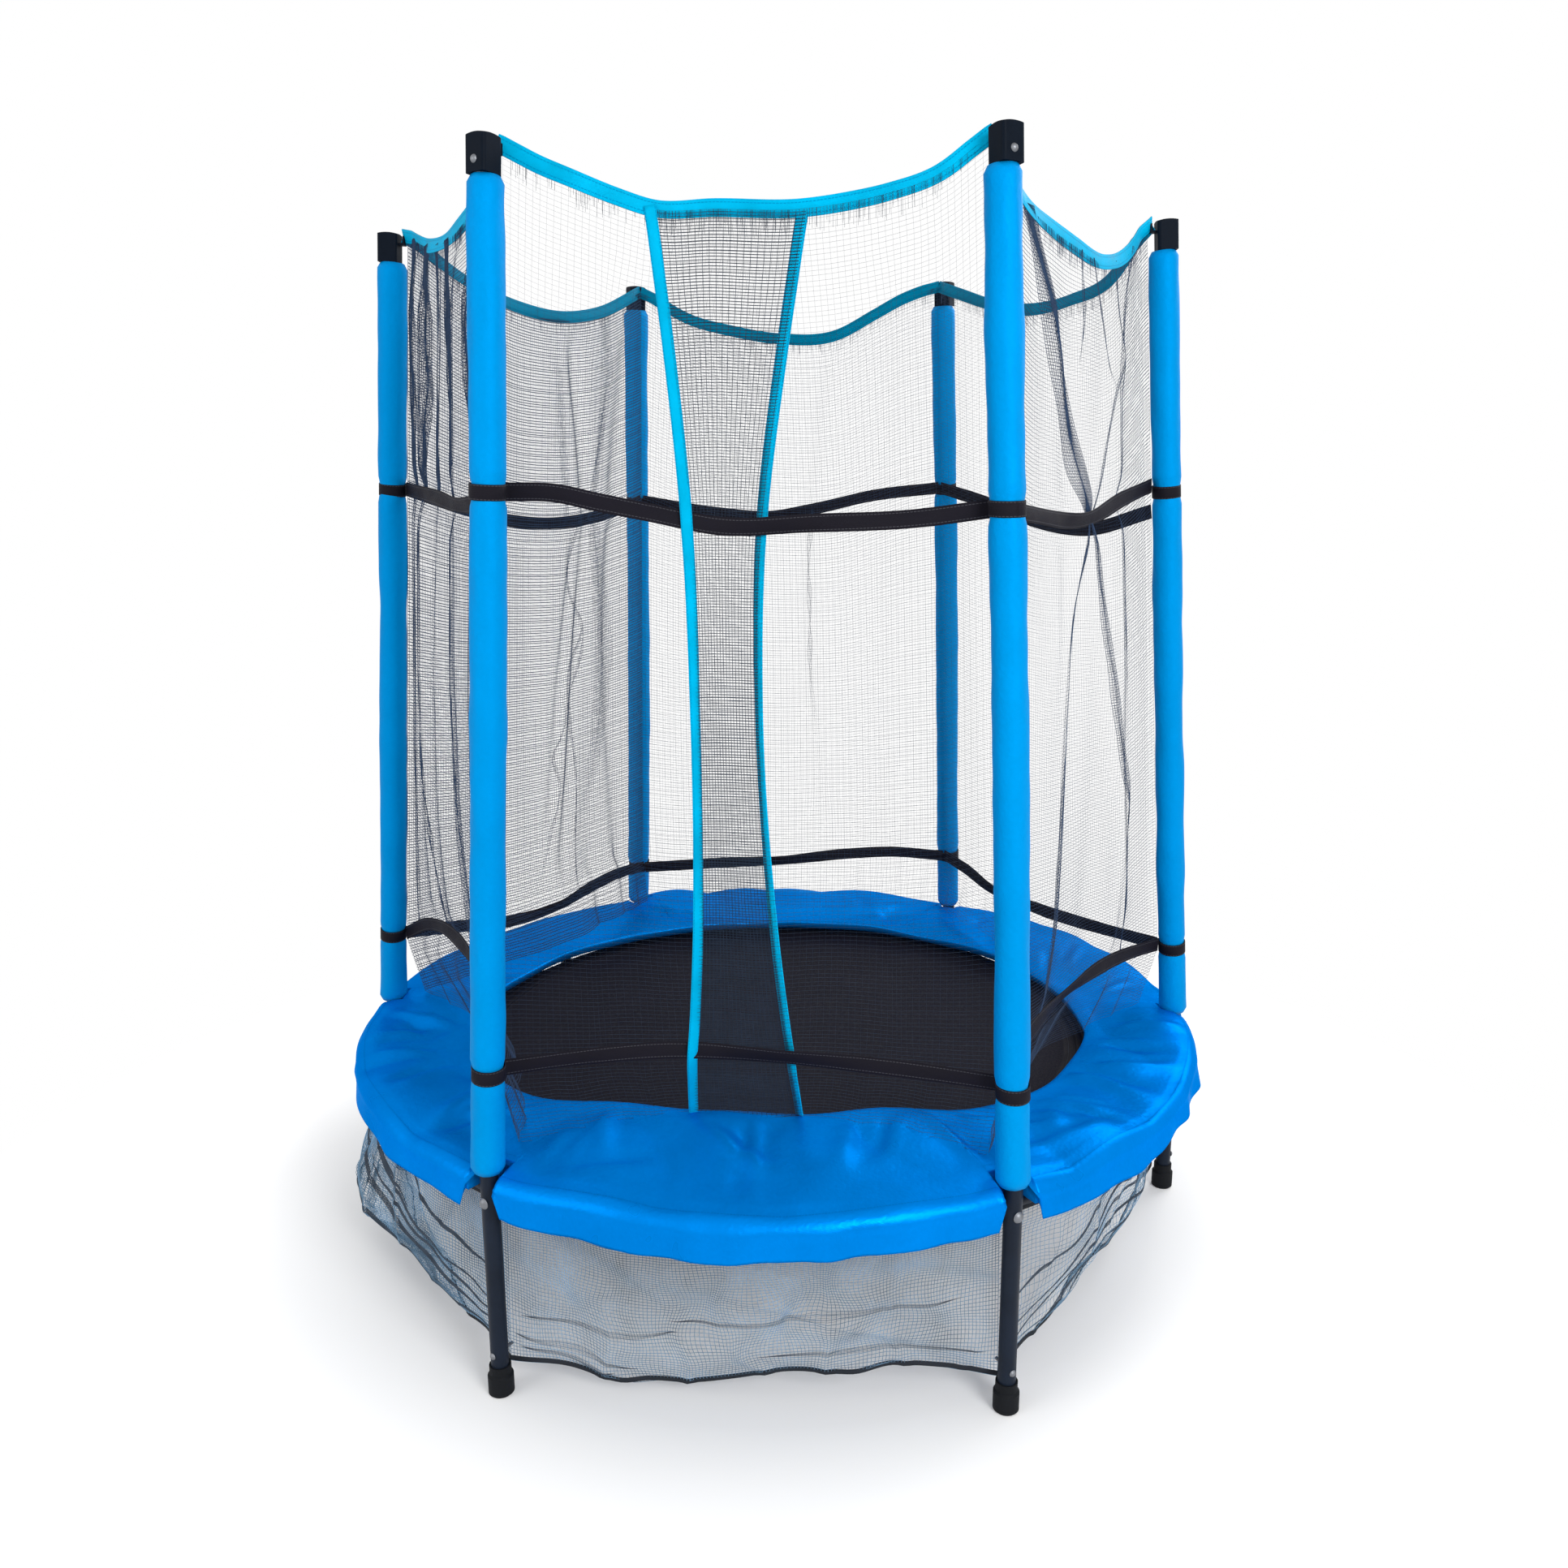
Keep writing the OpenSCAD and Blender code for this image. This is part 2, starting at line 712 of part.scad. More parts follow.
// One of the two net flaps that lap over each other in the doorway
module door_flap(hand) {
    off = -hand * flap_off;
    color("gray") {
        at_side(door_side) sheet(net_t, off) difference() {
            flap_outline(hand, 0);
            intersection() {
                flap_outline(hand, net_margin);
                upper_gaps();
            }
        }
        at_side_fold(door_side) sheet(net_t, off) difference() {
            flap_fold_outline(hand, 0);
            intersection() {
                flap_fold_outline(hand, net_margin);
                lower_gaps();
            }
        }
    }
}

// Tape bound round the free edge of each flap
module door_tapes() {
    color("deepskyblue") for (hand = [-1, 1]) {
        off = -hand * flap_off;
        at_side(door_side) sheet(net_t, off) difference() {
            intersection() {
                net_outline(0);
                beyond_edge(hand, tape_w);
            }
            beyond_edge(hand, 0);
        }
        at_side_fold(door_side) sheet(net_t, off) difference() {
            intersection() {
                fold_outline(0);
                beyond_edge_fold(hand, tape_w);
            }
            beyond_edge_fold(hand, 0);
        }
    }
}

module top_hem() {
    color("deepskyblue") for (i = [0:sides - 1]) at_side(i) sheet(tape_t, 0) difference() {
        intersection() {
            side_outline(corner_gap(tape_t));
            translate([0, hem_centre]) circle(r = hem_r + tape_w, $fn = 180);
        }
        translate([0, hem_centre]) circle(r = hem_r, $fn = 180);
    }
}

// A belt of webbing outside the net: a sagging band on each side, and a loop round each foam sleeve
module strap(rise, sag) {
    v = (rise - lower_strap_rise) / cos(net_tilt);
    half = net_half0 - net_taper * v + strap_overrun;
    r = (pow(half, 2) + pow(sag, 2)) / (2 * sag);
    loop_d = foam_d + 2 * seat_gap;
    for (i = [0:sides - 1]) {
        lift = net_t / 2 + seat_gap + (i == door_side ? flap_off : 0);
        at_side(i) sheet(strap_t, lift + strap_t / 2) intersection() {
            translate([-half, v - sag - strap_w]) square([2 * half, sag + 2 * strap_w]);
            difference() {
                translate([0, v - sag + r]) circle(r = r + strap_w / 2, $fn = 180);
                translate([0, v - sag + r]) circle(r = r - strap_w / 2, $fn = 180);
            }
        }
        at_pole(i) translate([0, 0, rise / cos(pole_lean) - strap_w / 2]) {
            tube(loop_d + 2 * strap_t, loop_d, strap_w);
        }
    }
}

module upper_strap() {
    color("black") strap(upper_strap_rise, upper_strap_sag);
}

module lower_strap() {
    color("black") strap(lower_strap_rise, lower_strap_sag);
}

// Lower net between the legs

// A point of the lower net's middle surface: s runs from -1 to 1 along the side, z is the height
function lower_point(s, z) =
    let (
        f = (z - lower_net_z) / (lower_top_z - lower_net_z),
        bow = lower_hem_bow * (1 - f) + 4 * lower_net_belly * f * (1 - f),
        x = f * ring_r * cos(half_turn * s) + (1 - f) * lower_corner_r * cos(half_turn),
        y = f * ring_r * sin(half_turn * s) + (1 - f) * lower_corner_r * sin(half_turn) * s
    )
    [x + bow * (1 - s * s), y, z];

// A curved strip of the lower net between two heights
module lower_strip(low, high, thickness, bands) {
    n = lower_strips;
    row = n + 1;
    edge = 1 - corner_gap(thickness) / (lower_corner_r * sin(half_turn));
    heights = [for (b = [0:bands]) low + (high - low) * b / bands];
    face = [for (z = heights, c = [0:n]) lower_point(edge * (2 * c / n - 1), z)];
    count = len(face);
    points = [for (side = [0.5, -0.5], p = face) p + [side * thickness, 0, 0]];
    outer = [for (b = [0:bands - 1], c = [0:n - 1]) let (a = b * row + c)
        each [[a, a + row, a + 1], [a + 1, a + row, a + row + 1]]];
    inner = [for (t = outer) [t[0] + count, t[2] + count, t[1] + count]];
    rim = concat(
        [for (c = [0:n]) c],
        [for (b = [1:bands]) b * row + n],
        [for (c = [n - 1:-1:0]) bands * row + c],
        [for (b = [bands - 1:-1:1]) b * row]
    );
    walls = [for (k = [0:len(rim) - 1]) let (a = rim[k], b = rim[(k + 1) % len(rim)])
        each [[a, b, b + count], [a, b + count, a + count]]];
    polyhedron(points = points, faces = concat(outer, inner, walls));
}

module lower_net() {
    low = lower_net_z + lower_hem_h + seat_gap;
    rows = 2;
    width = 2 * (lower_corner_r * sin(half_turn) - net_margin);
    height = lower_top_z - net_margin - low;
    color("gray") for (i = [0:sides - 1]) rotate([0, 0, step * i + half_turn]) difference() {
        lower_strip(low, lower_top_z, net_t, 3);
        translate([0, 0, low]) rotate([90, 0, 90]) linear_extrude(upright_circle_r) {
            net_gaps(lower_net_columns, rows, width, height);
        }
        for (n = [-1, 1]) rotate([0, 0, n * half_turn]) translate([0, 0, net_screw_z]) {
            rod(screw_d + 2 * hole_clear, ring_r - tube_d, upright_circle_r);
        }
    }
}

module lower_hem() {
    color("dimgray") for (i = [0:sides - 1]) rotate([0, 0, step * i + half_turn]) {
        lower_strip(lower_net_z, lower_net_z + lower_hem_h, tape_t, 1);
    }
}

for (i = [1:sides]) {
    ring_tube(i - 1);
    leg(i - 1);
    pole(i - 1);
    foam_sleeve(i - 1);
    pole_cap(i - 1);
}
for (i = [1:sides - 1]) {
    net_panel(i);
}
rubber_feet();
saddle_spacers();
frame_bolts();
frame_nuts();
cap_screws();
net_screws();
jump_mat();
mat_tabs();
mat_rings();
springs();
pad_cover();
pad_foam();
door_flap(1);  // door_flap_left
door_flap(-1);  // door_flap_right
door_tapes();
top_hem();
upper_strap();
lower_strap();
lower_net();
lower_hem();
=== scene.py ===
import math

import bpy
import numpy as np
from mathutils import Matrix, Vector


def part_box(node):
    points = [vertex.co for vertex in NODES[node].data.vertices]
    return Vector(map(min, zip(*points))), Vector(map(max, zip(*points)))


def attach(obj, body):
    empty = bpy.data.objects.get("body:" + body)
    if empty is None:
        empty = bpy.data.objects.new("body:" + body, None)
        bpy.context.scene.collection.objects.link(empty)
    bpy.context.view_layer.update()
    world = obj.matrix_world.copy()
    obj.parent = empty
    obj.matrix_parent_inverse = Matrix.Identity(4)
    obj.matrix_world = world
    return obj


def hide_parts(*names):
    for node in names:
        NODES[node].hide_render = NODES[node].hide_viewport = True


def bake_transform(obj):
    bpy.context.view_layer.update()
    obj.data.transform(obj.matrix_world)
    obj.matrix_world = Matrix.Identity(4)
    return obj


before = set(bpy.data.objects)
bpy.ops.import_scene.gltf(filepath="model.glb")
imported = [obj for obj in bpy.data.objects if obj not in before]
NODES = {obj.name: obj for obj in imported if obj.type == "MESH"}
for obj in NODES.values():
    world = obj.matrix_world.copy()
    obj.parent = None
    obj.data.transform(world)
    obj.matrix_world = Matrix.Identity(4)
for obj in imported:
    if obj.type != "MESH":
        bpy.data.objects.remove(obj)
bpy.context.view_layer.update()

SIDES = 6
STEP = 2 * math.pi / SIDES
TAN_HALF = math.tan(STEP / 2)
UP = np.array([0.0, 0.0, 1.0])


def middle(node):
    low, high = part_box(node)
    return (low + high) / 2


def extent(node):
    low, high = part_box(node)
    return high - low


# Sizes taken from the frame, in metres
UPRIGHT_R = middle("leg_1").x
LEG_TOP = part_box("leg_1")[1].z
LEAN = math.atan((UPRIGHT_R - middle("pole_cap_1").x) / (middle("pole_cap_1").z - LEG_TOP))
FOAM_R = extent("foam_sleeve_1").y / 2
FOAM_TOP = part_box("foam_sleeve_1")[1].z - FOAM_R * math.sin(LEAN)
MAT_R = extent("jump_mat").x / 2
MAT_Z = middle("jump_mat").z
SPRING_REACH = 0.1205
RING_R = MAT_R + SPRING_REACH
COVER_T = 0.0015
PAD_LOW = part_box("pad_foam")[0].z - COVER_T
SKIRT_FLARE = 0.005
PAD_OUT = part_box("pad_cover")[1].x - SKIRT_FLARE
SKIRT_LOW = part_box("pad_cover")[0].z
NET_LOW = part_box("net_panel_3")[0].z
NET_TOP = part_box("top_hem")[1].z
HEM_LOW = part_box("lower_hem")[0].z
LOWER_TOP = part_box("lower_net")[1].z

# Sizes of the soft goods
NET_GAP = 0.0055
NET_INSET = FOAM_R + NET_GAP
FOLD_Z = 0.450
FOLD_IN = 0.023
TAPE_W = 0.021
TAPE_T = 0.0024
STRAP_W = 0.023
STRAP_T = 0.0018
DOOR_SIDE = 4


# Helpers: numbers

def smooth(x, low, high):
    t = np.clip((x - low) / (high - low), 0.0, 1.0)
    return t * t * (3 - 2 * t)


def curve_through(xs, ys, x):
    """A smooth curve through a few hand-placed points, at the places x."""
    xs = np.asarray(xs, float)
    ys = np.asarray(ys, float)
    slopes = np.gradient(ys, xs)
    i = np.clip(np.searchsorted(xs, x) - 1, 0, len(xs) - 2)
    h = xs[i + 1] - xs[i]
    t = np.clip((x - xs[i]) / h, 0.0, 1.0)
    start = (1 + 2 * t) * (1 - t) ** 2 * ys[i] + t * (1 - t) ** 2 * h * slopes[i]
    return start + t * t * (3 - 2 * t) * ys[i + 1] + t * t * (t - 1) * h * slopes[i + 1]


def ripple(seed, x, y, size, waves=7):
    """Smooth seeded undulation of about unit height and the given wavelength."""
    random = np.random.default_rng(seed)
    total = np.zeros(np.broadcast(x, y).shape)
    for _ in range(waves):
        turn = random.uniform(0, 2 * math.pi)
        pace = 2 * math.pi / size * random.uniform(0.6, 1.5)
        total += np.sin(pace * (x * math.cos(turn) + y * math.sin(turn)) + random.uniform(0, 2 * math.pi))
    return total / math.sqrt(waves)


def crease(seed, x, y, size):
    """Sharp ridges along the crossings of an undulation, from 0 to 1."""
    return np.exp(-(ripple(seed, x, y, size) / 0.16) ** 2)


def facets(seed, x, y, size):
    """Smooth swellings that meet in soft creases, from 0 up."""
    return np.sqrt(ripple(seed, x, y, size) ** 2 + 0.004)


def unit(v):
    return v / np.maximum(np.linalg.norm(v, axis=-1, keepdims=True), 1e-12)


def circle(turn, r, z):
    """Points at some angles round the middle, at a radius and a height."""
    return np.stack([np.cos(turn) * r, np.sin(turn) * r, z + 0 * turn], -1)


def spokes(turn, first, second):
    """Directions at some angles from a first direction towards a second."""
    return np.cos(turn)[..., None] * first + np.sin(turn)[..., None] * second


def axes_at(turn):
    """Directions away from the middle and round it, at an angle."""
    out = np.array([math.cos(turn), math.sin(turn), 0.0])
    return out, np.array([-out[1], out[0], 0.0])


# Helpers: meshes

def grid_faces(rows, cols, wrap_rows=False, wrap_cols=False):
    r = np.arange(rows if wrap_rows else rows - 1)
    c = np.arange(cols if wrap_cols else cols - 1)
    r, c = np.meshgrid(r, c, indexing="ij")
    r2 = (r + 1) % rows
    c2 = (c + 1) % cols
    corners = [r * cols + c, r * cols + c2, r2 * cols + c2, r2 * cols + c]
    return np.stack(corners, -1).reshape(-1, 4)


def make_piece(name, points, faces, materials, uv=None, indices=None):
    """A mesh object from points, a list of face arrays, and an optional UV place for each point."""
    mesh = bpy.data.meshes.new(name)
    polygons = [face for block in faces for face in np.asarray(block).tolist()]
    mesh.from_pydata(np.asarray(points).reshape(-1, 3).tolist(), [], polygons)
    mesh.polygons.foreach_set("use_smooth", np.ones(len(polygons), bool))
    for material in materials:
        mesh.materials.append(material)
    if indices is not None:
        mesh.polygons.foreach_set("material_index", np.asarray(indices, np.int32))
    if uv is not None:
        layer = mesh.uv_layers.new(name="UVMap")
        corner = np.zeros(len(mesh.loops), np.int32)
        mesh.loops.foreach_get("vertex_index", corner)
        layer.data.foreach_set("uv", np.asarray(uv, np.float32).reshape(-1, 2)[corner].ravel())
    mesh.update()
    piece = bpy.data.objects.new(name, mesh)
    bpy.context.scene.collection.objects.link(piece)
    return piece


class Shape:
    """Points, faces, UVs and material numbers gathered from several parts of one piece."""

    def __init__(self):
        self.points = []
        self.faces = []
        self.uv = []
        self.slots = []
        self.count = 0

    def add(self, points, faces, uv=None, slot=0):
        points = np.asarray(points, float).reshape(-1, 3)
        for block in faces:
            block = np.asarray(block)
            self.faces.append(block + self.count)
            self.slots.append(np.full(len(block), slot) if np.isscalar(slot) else np.asarray(slot))
        self.uv.append(np.zeros((len(points), 2)) if uv is None else np.asarray(uv).reshape(-1, 2))
        self.points.append(points)
        self.count += len(points)

    def piece(self, name, *materials):
        points, uv, slots = [np.concatenate(part) for part in (self.points, self.uv, self.slots)]
        return make_piece(name, points, self.faces, materials, uv, slots)


def placed(piece, body, slot, *nodes):
    """Ties a piece to its body and hides the nodes it stands for; the material slot is not used."""
    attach(piece, body)
    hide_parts(*nodes)


RIBBON_OUTLINE = np.array(
    [[-0.5, -0.2], [-0.46, -0.5], [0.0, -0.5], [0.46, -0.5], [0.5, -0.2],
     [0.5, 0.2], [0.46, 0.5], [0.0, 0.5], [-0.46, 0.5], [-0.5, 0.2]]
)
OUTWARD_SIDES = (5, 6, 7, 8)


def ribbon(shape, path, across, normal, width, thick, closed=False, outer=0, inner=0):
    """A band of webbing along a path: across is the direction of its width, normal of its outer face."""
    count = len(path)
    sides = len(RIBBON_OUTLINE)
    a = RIBBON_OUTLINE[:, 0][None, :, None] * width * across[:, None, :]
    n = RIBBON_OUTLINE[:, 1][None, :, None] * thick * normal[:, None, :]
    points = path[:, None, :] + a + n
    steps = np.linalg.norm(np.diff(path, axis=0), axis=1)
    uv = np.zeros((count, sides, 2))
    uv[:, :, 0] = np.concatenate([[0.0], np.cumsum(steps)])[:, None]
    uv[:, :, 1] = RIBBON_OUTLINE[None, :, 0] * width
    faces = grid_faces(count, sides, closed, True)
    side = np.tile(np.arange(sides), len(faces) // sides)
    shape.add(points, [faces], uv, np.where(np.isin(side, OUTWARD_SIDES), outer, inner))
    if not closed:
        first = np.arange(sides)[None, :]
        last = first[:, ::-1] + (count - 1) * sides
        shape.faces.append(np.concatenate([first, last]) + shape.count - count * sides)
        shape.slots.append(np.full(2, outer))


def band(shape, path, facing, width, thick, **slots):
    """A ribbon that follows a path and faces a way."""
    along = unit(np.gradient(path, axis=0))
    across = unit(np.cross(facing, along))
    ribbon(shape, path, across, np.cross(along, across), width, thick, **slots)


def threads(shape, lines, normal, width, depth=None, slot=0):
    """Three-sided yarns along many lines of equal point counts, with a depth along the normal."""
    depth = width if depth is None else depth
    lines = np.asarray(lines, float)
    count, steps = lines.shape[:2]
    along = unit(np.gradient(lines, axis=1))
    sideways = unit(np.cross(along, normal))
    outward = np.cross(sideways, along)
    corners = ((0.0, 0.58), (-0.5, -0.29), (0.5, -0.29))
    ring = [a * width * sideways + b * depth * outward for a, b in corners]
    points = lines[:, :, None, :] + np.stack(ring, 2)
    one = grid_faces(steps, 3, False, True)
    quads = (one[None] + (np.arange(count) * steps * 3)[:, None, None]).reshape(-1, 4)
    start = np.arange(count)[:, None] * steps * 3
    caps = np.concatenate([start + [0, 1, 2], start + (steps - 1) * 3 + [2, 1, 0]])
    shape.add(points, [quads, caps], slot=slot)


# Helpers: materials

def add_node(tree, kind, inputs=None, **settings):
    node = tree.nodes.new(kind)
    for key, value in settings.items():
        setattr(node, key, value)
    for key, value in (inputs or {}).items():
        if isinstance(value, bpy.types.NodeSocket):
            tree.links.new(value, node.inputs[key])
        else:
            node.inputs[key].default_value = value
    return node


def math_node(tree, operation, a, b=0.0):
    return add_node(tree, "ShaderNodeMath", {0: a, 1: b}, operation=operation).outputs[0]


def coordinates(tree, kind="Object"):
    return add_node(tree, "ShaderNodeTexCoord").outputs[kind]


def noise(tree, where, size, detail=3.0, rough=0.55):
    settings = {"Vector": where, "Scale": 1 / size, "Detail": detail, "Roughness": rough}
    return add_node(tree, "ShaderNodeTexNoise", settings).outputs["Fac"]


def bands(tree, where, pitch, direction):
    settings = {"Vector": where, "Scale": math.pi / (10 * pitch)}
    return add_node(tree, "ShaderNodeTexWave", settings, bands_direction=direction).outputs["Fac"]


def ranged(tree, value, low, high):
    return add_node(tree, "ShaderNodeMapRange", {0: value, 1: 0.25, 2: 0.75, 3: low, 4: high}).outputs[0]


def mixed(tree, share, first, second):
    return add_node(tree, "ShaderNodeMix", {0: share, 6: first, 7: second}, data_type="RGBA").outputs[2]


def bumped(tree, height, distance, before=None):
    inputs = {"Height": height, "Distance": distance, "Strength": 1.0}
    if before is not None:
        inputs["Normal"] = before
    return add_node(tree, "ShaderNodeBump", inputs).outputs["Normal"]


def tinted(color, times):
    return (*[min(1.0, c * times) for c in color], 1.0)


def mottled(tree, cloud, color, dark, light, share=1.0):
    """A colour that goes from a darker to a lighter tint with a cloud of noise."""
    return mixed(tree, ranged(tree, cloud, 0.0, share), tinted(color, dark), tinted(color, light))


def new_material(name, **fixed):
    material = bpy.data.materials.new(name)
    material.use_nodes = True
    tree = material.node_tree
    shader = tree.nodes["Principled BSDF"]
    for key, value in fixed.items():
        shader.inputs[key.replace("_", " ")].default_value = value
    return material, tree, shader


def finished(tree, shader, color, rough, normal):
    for key, socket in (("Base Color", color), ("Roughness", rough), ("Normal", normal)):
        tree.links.new(socket, shader.inputs[key])


def stitch_mask(tree, where, offset, pitch):
    """1 on the stitches of a seam that runs along U at a distance from the middle of a band."""
    split = add_node(tree, "ShaderNodeSeparateXYZ", {0: where})
    gap = math_node(tree, "ABSOLUTE", math_node(tree, "ADD", split.outputs[1], -offset))
    on_line = math_node(tree, "LESS_THAN", gap, THREAD_HALF)
    place = math_node(tree, "FRACT", math_node(tree, "DIVIDE", split.outputs[0], pitch))
    return math_node(tree, "MULTIPLY", on_line, math_node(tree, "LESS_THAN", place, STITCH_SHARE))


def coated_fabric(name, color, rough, weave, tone_and_shade, seams=(), slack=0.0, **fixed):
    """PVC-coated cloth: a fine weave under a glossy skin, with cloudy tone that partly paints soft patches of
    light and shade.
    """
    material, tree, shader = new_material(name, **fixed)
    where = coordinates(tree)
    cloud = noise(tree, where, 0.12)
    fine = noise(tree, where, 0.006, 2.0)
    # The cloud swings the colour up and down: random tone, and on the pad also painted patches of light and
    # shade.
    shade = mottled(tree, cloud, color, 1 - tone_and_shade, 1 + tone_and_shade)
    shade = mixed(tree, ranged(tree, fine, 0.0, 0.12), shade, tinted(color, 0.7))
    cloth = math_node(tree, "MULTIPLY", *[bands(tree, where, weave, way) for way in "XY"])
    normal = bumped(tree, fine, 0.0006)
    normal = bumped(tree, cloth, 0.00008, normal)
    if slack > 0:
        normal = bumped(tree, noise(tree, where, 0.09, 1.0, 0.4), slack, normal)
    for seam in seams:
        stitches = stitch_mask(tree, coordinates(tree, "UV"), seam, COVER_STITCH)
        shade = mixed(tree, stitches, shade, tinted(color, 0.8))
        normal = bumped(tree, stitches, 0.0004, normal)
    finished(tree, shader, shade, ranged(tree, cloud, rough - 0.06, rough + 0.08), normal)
    return material


def worn(name, color, rough, look, **fixed):
    """A hard surface with a grain in its relief, and wear in its tone and gloss."""
    material, tree, shader = new_material(name, **fixed)
    where = coordinates(tree)
    noises = [noise(tree, where, *look[kind]) for kind in ("grain", "wear") if kind in look]
    grain = noises[0]
    wear = noises[-1]
    shade = mottled(tree, wear, color, *look["tints"])
    gloss = ranged(tree, wear, *[rough + change for change in look["gloss"]])
    finished(tree, shader, shade, gloss, bumped(tree, grain, look["depth"]))
    return material


def yarn(name, color, patch=0.02, dark=0.75, light=1.3):
    """Knitted polyester yarn, dull, uneven in tone over patches of a size."""
    material, tree, shader = new_material(name, Specular_IOR_Level=0.2)
    where = coordinates(tree)
    tone = noise(tree, where, patch, 3.0)
    shade = mottled(tree, tone, color, dark, light)
    lay = bands(tree, where, 0.0012, "DIAGONAL")
    finished(tree, shader, shade, ranged(tree, tone, 0.7, 0.85), bumped(tree, lay, 0.0001))
    return material


def webbing(name, color, thread, stitch_at, rib=0.0016, **fixed):
    """Woven band in UV space: ribs along it, picks across it, and two rows of stitches."""
    material, tree, shader = new_material(name, **fixed)
    where = coordinates(tree, "UV")
    ribs = bands(tree, where, rib, "Y")
    picks = bands(tree, where, rib * 0.6, "X")
    weave = math_node(tree, "MULTIPLY", ribs, picks)
    cloud = noise(tree, coordinates(tree), 0.05, 4.0)
    shade = mottled(tree, cloud, color, 0.82, 1.18)
    shade = mixed(tree, math_node(tree, "MULTIPLY", weave, 0.35), shade, tinted(color, 0.55))
    seams = [stitch_mask(tree, where, s, BAND_STITCH) for s in (-stitch_at, stitch_at)]
    stitches = math_node(tree, "MAXIMUM", *seams)
    shade = mixed(tree, stitches, shade, (*thread, 1.0))
    normal = bumped(tree, weave, 0.0002)
    normal = bumped(tree, stitches, 0.0003, normal)
    finished(tree, shader, shade, ranged(tree, cloud, 0.55, 0.75), normal)
    return material


def mat_cloth(name, color):
    """Woven polypropylene: flat tapes in a plain weave, their alternate sheen painted into the colour, with
    light specks painted in as glints.
    """
    material, tree, shader = new_material(name, Specular_IOR_Level=0.05)
    where = coordinates(tree)
    weave = math_node(tree, "MULTIPLY", *[bands(tree, where, 0.0026, way) for way in "XY"])
    cloud = noise(tree, where, 0.09, 5.0, 0.65)
    glint_speck = noise(tree, where, 0.004, 1.0)
    shade = mottled(tree, cloud, color, 0.8, 1.25)
    # Light specks: painted glints, which also vary the roughness.
    shade = mixed(tree, ranged(tree, glint_speck, 0.0, 0.5), shade, tinted(color, 1.9))
    # Darker where the tapes cross: the weave's alternate sheen, painted as darker tapes.
    shade = mixed(tree, math_node(tree, "MULTIPLY", weave, 0.5), shade, tinted(color, 0.45))
    finished(tree, shader, shade, ranged(tree, glint_speck, 0.5, 0.75), bumped(tree, weave, 0.0003))
    return material


# Stitches: half the thread's thickness, the share of a pitch it shows, and pitches on bands and the cover
THREAD_HALF = 0.0005
STITCH_SHARE = 0.72
BAND_STITCH = 0.0045
COVER_STITCH = 0.0042
# Rows of stitches on the pad, as distances down its skirt from the fold, or back across its top
PAD_SEAMS = (-0.016, 0.046)
# Hard surfaces: noise of the wear, and of a grain unless the wear is one, tints, gloss and depth of the grain
MOULDED = {
    "grain": (0.0012, 2.0), "wear": (0.03, 5.0, 0.7), "tints": (0.85, 1.7, 0.5),
    "gloss": (-0.08, 0.1), "depth": 0.00008,
}
RUBBERY = {**MOULDED, "grain": (0.002, 2.0), "depth": 0.00015}
POWDER_COAT = {
    "grain": (0.0022, 1.0), "wear": (0.05, 4.0, 0.65), "tints": (0.8, 1.35),
    "gloss": (-0.07, 0.12), "depth": 0.0001,
}
ZINC_PLATE = {
    "wear": (0.004, 6.0, 0.7), "tints": (0.78, 1.1), "gloss": (-0.08, 0.14), "depth": 0.0001,
}
AZURE = (0.0, 0.272, 0.675)
PAD_BLUE = (0.0, 0.205, 0.685)
CYAN = (0.0, 0.46, 0.78)
# A darker copy of the tape's cyan for its inward faces: painted shade.
CYAN_SHADED = (0.0, 0.19, 0.33)
BLACK_WEB = (0.008, 0.007, 0.012)
BLUE_GLOSS = {"Specular_IOR_Level": 0.3, "Specular_Tint": (0.0, 0.45, 1.0, 1.0)}
SATIN = {"Metallic": 0.42, "Specular_IOR_Level": 0.0, "Specular_Tint": (0.0, 0.55, 1.0, 1.0)}
SOFT_SHEEN = {"Metallic": 0.12, "Specular_IOR_Level": 0.05, "Specular_Tint": (0.0, 0.6, 1.0, 1.0)}
DULL = {"Specular_IOR_Level": 0.10}
METAL = {"Metallic": 1.0}

foam_skin = coated_fabric("foam_skin", AZURE, 0.5, 0.0009, 0.05, **SOFT_SHEEN)
# The pad's larger cloud swing paints soft patches of light and shade on its cover.
pad_vinyl = coated_fabric("pad_vinyl", PAD_BLUE, 0.31, 0.0012, 0.10, PAD_SEAMS, 0.005, **SATIN)
frame_paint = worn("frame_paint", (0.008, 0.013, 0.024), 0.4, POWDER_COAT, Specular_IOR_Level=0.12)
pole_zinc = worn("pole_zinc", (0.55, 0.57, 0.6), 0.42, ZINC_PLATE, **METAL)
zinc = worn("zinc", (0.50, 0.51, 0.53), 0.38, ZINC_PLATE, **METAL)
bolt_zinc = worn("bolt_zinc", (0.22, 0.23, 0.25), 0.48, ZINC_PLATE, **METAL)
cap_plastic = worn("cap_plastic", (0.004, 0.007, 0.013), 0.5, MOULDED, Specular_IOR_Level=0.04)
rubber = worn("rubber", (0.008, 0.009, 0.011), 0.66, RUBBERY, **DULL)
net_yarn = yarn("net_yarn", (0.026, 0.050, 0.104))
door_yarn = yarn("door_yarn", (0.020, 0.036, 0.066))
lower_yarn = yarn("lower_yarn", (0.200, 0.340, 0.490), 0.07, 0.45, 1.6)
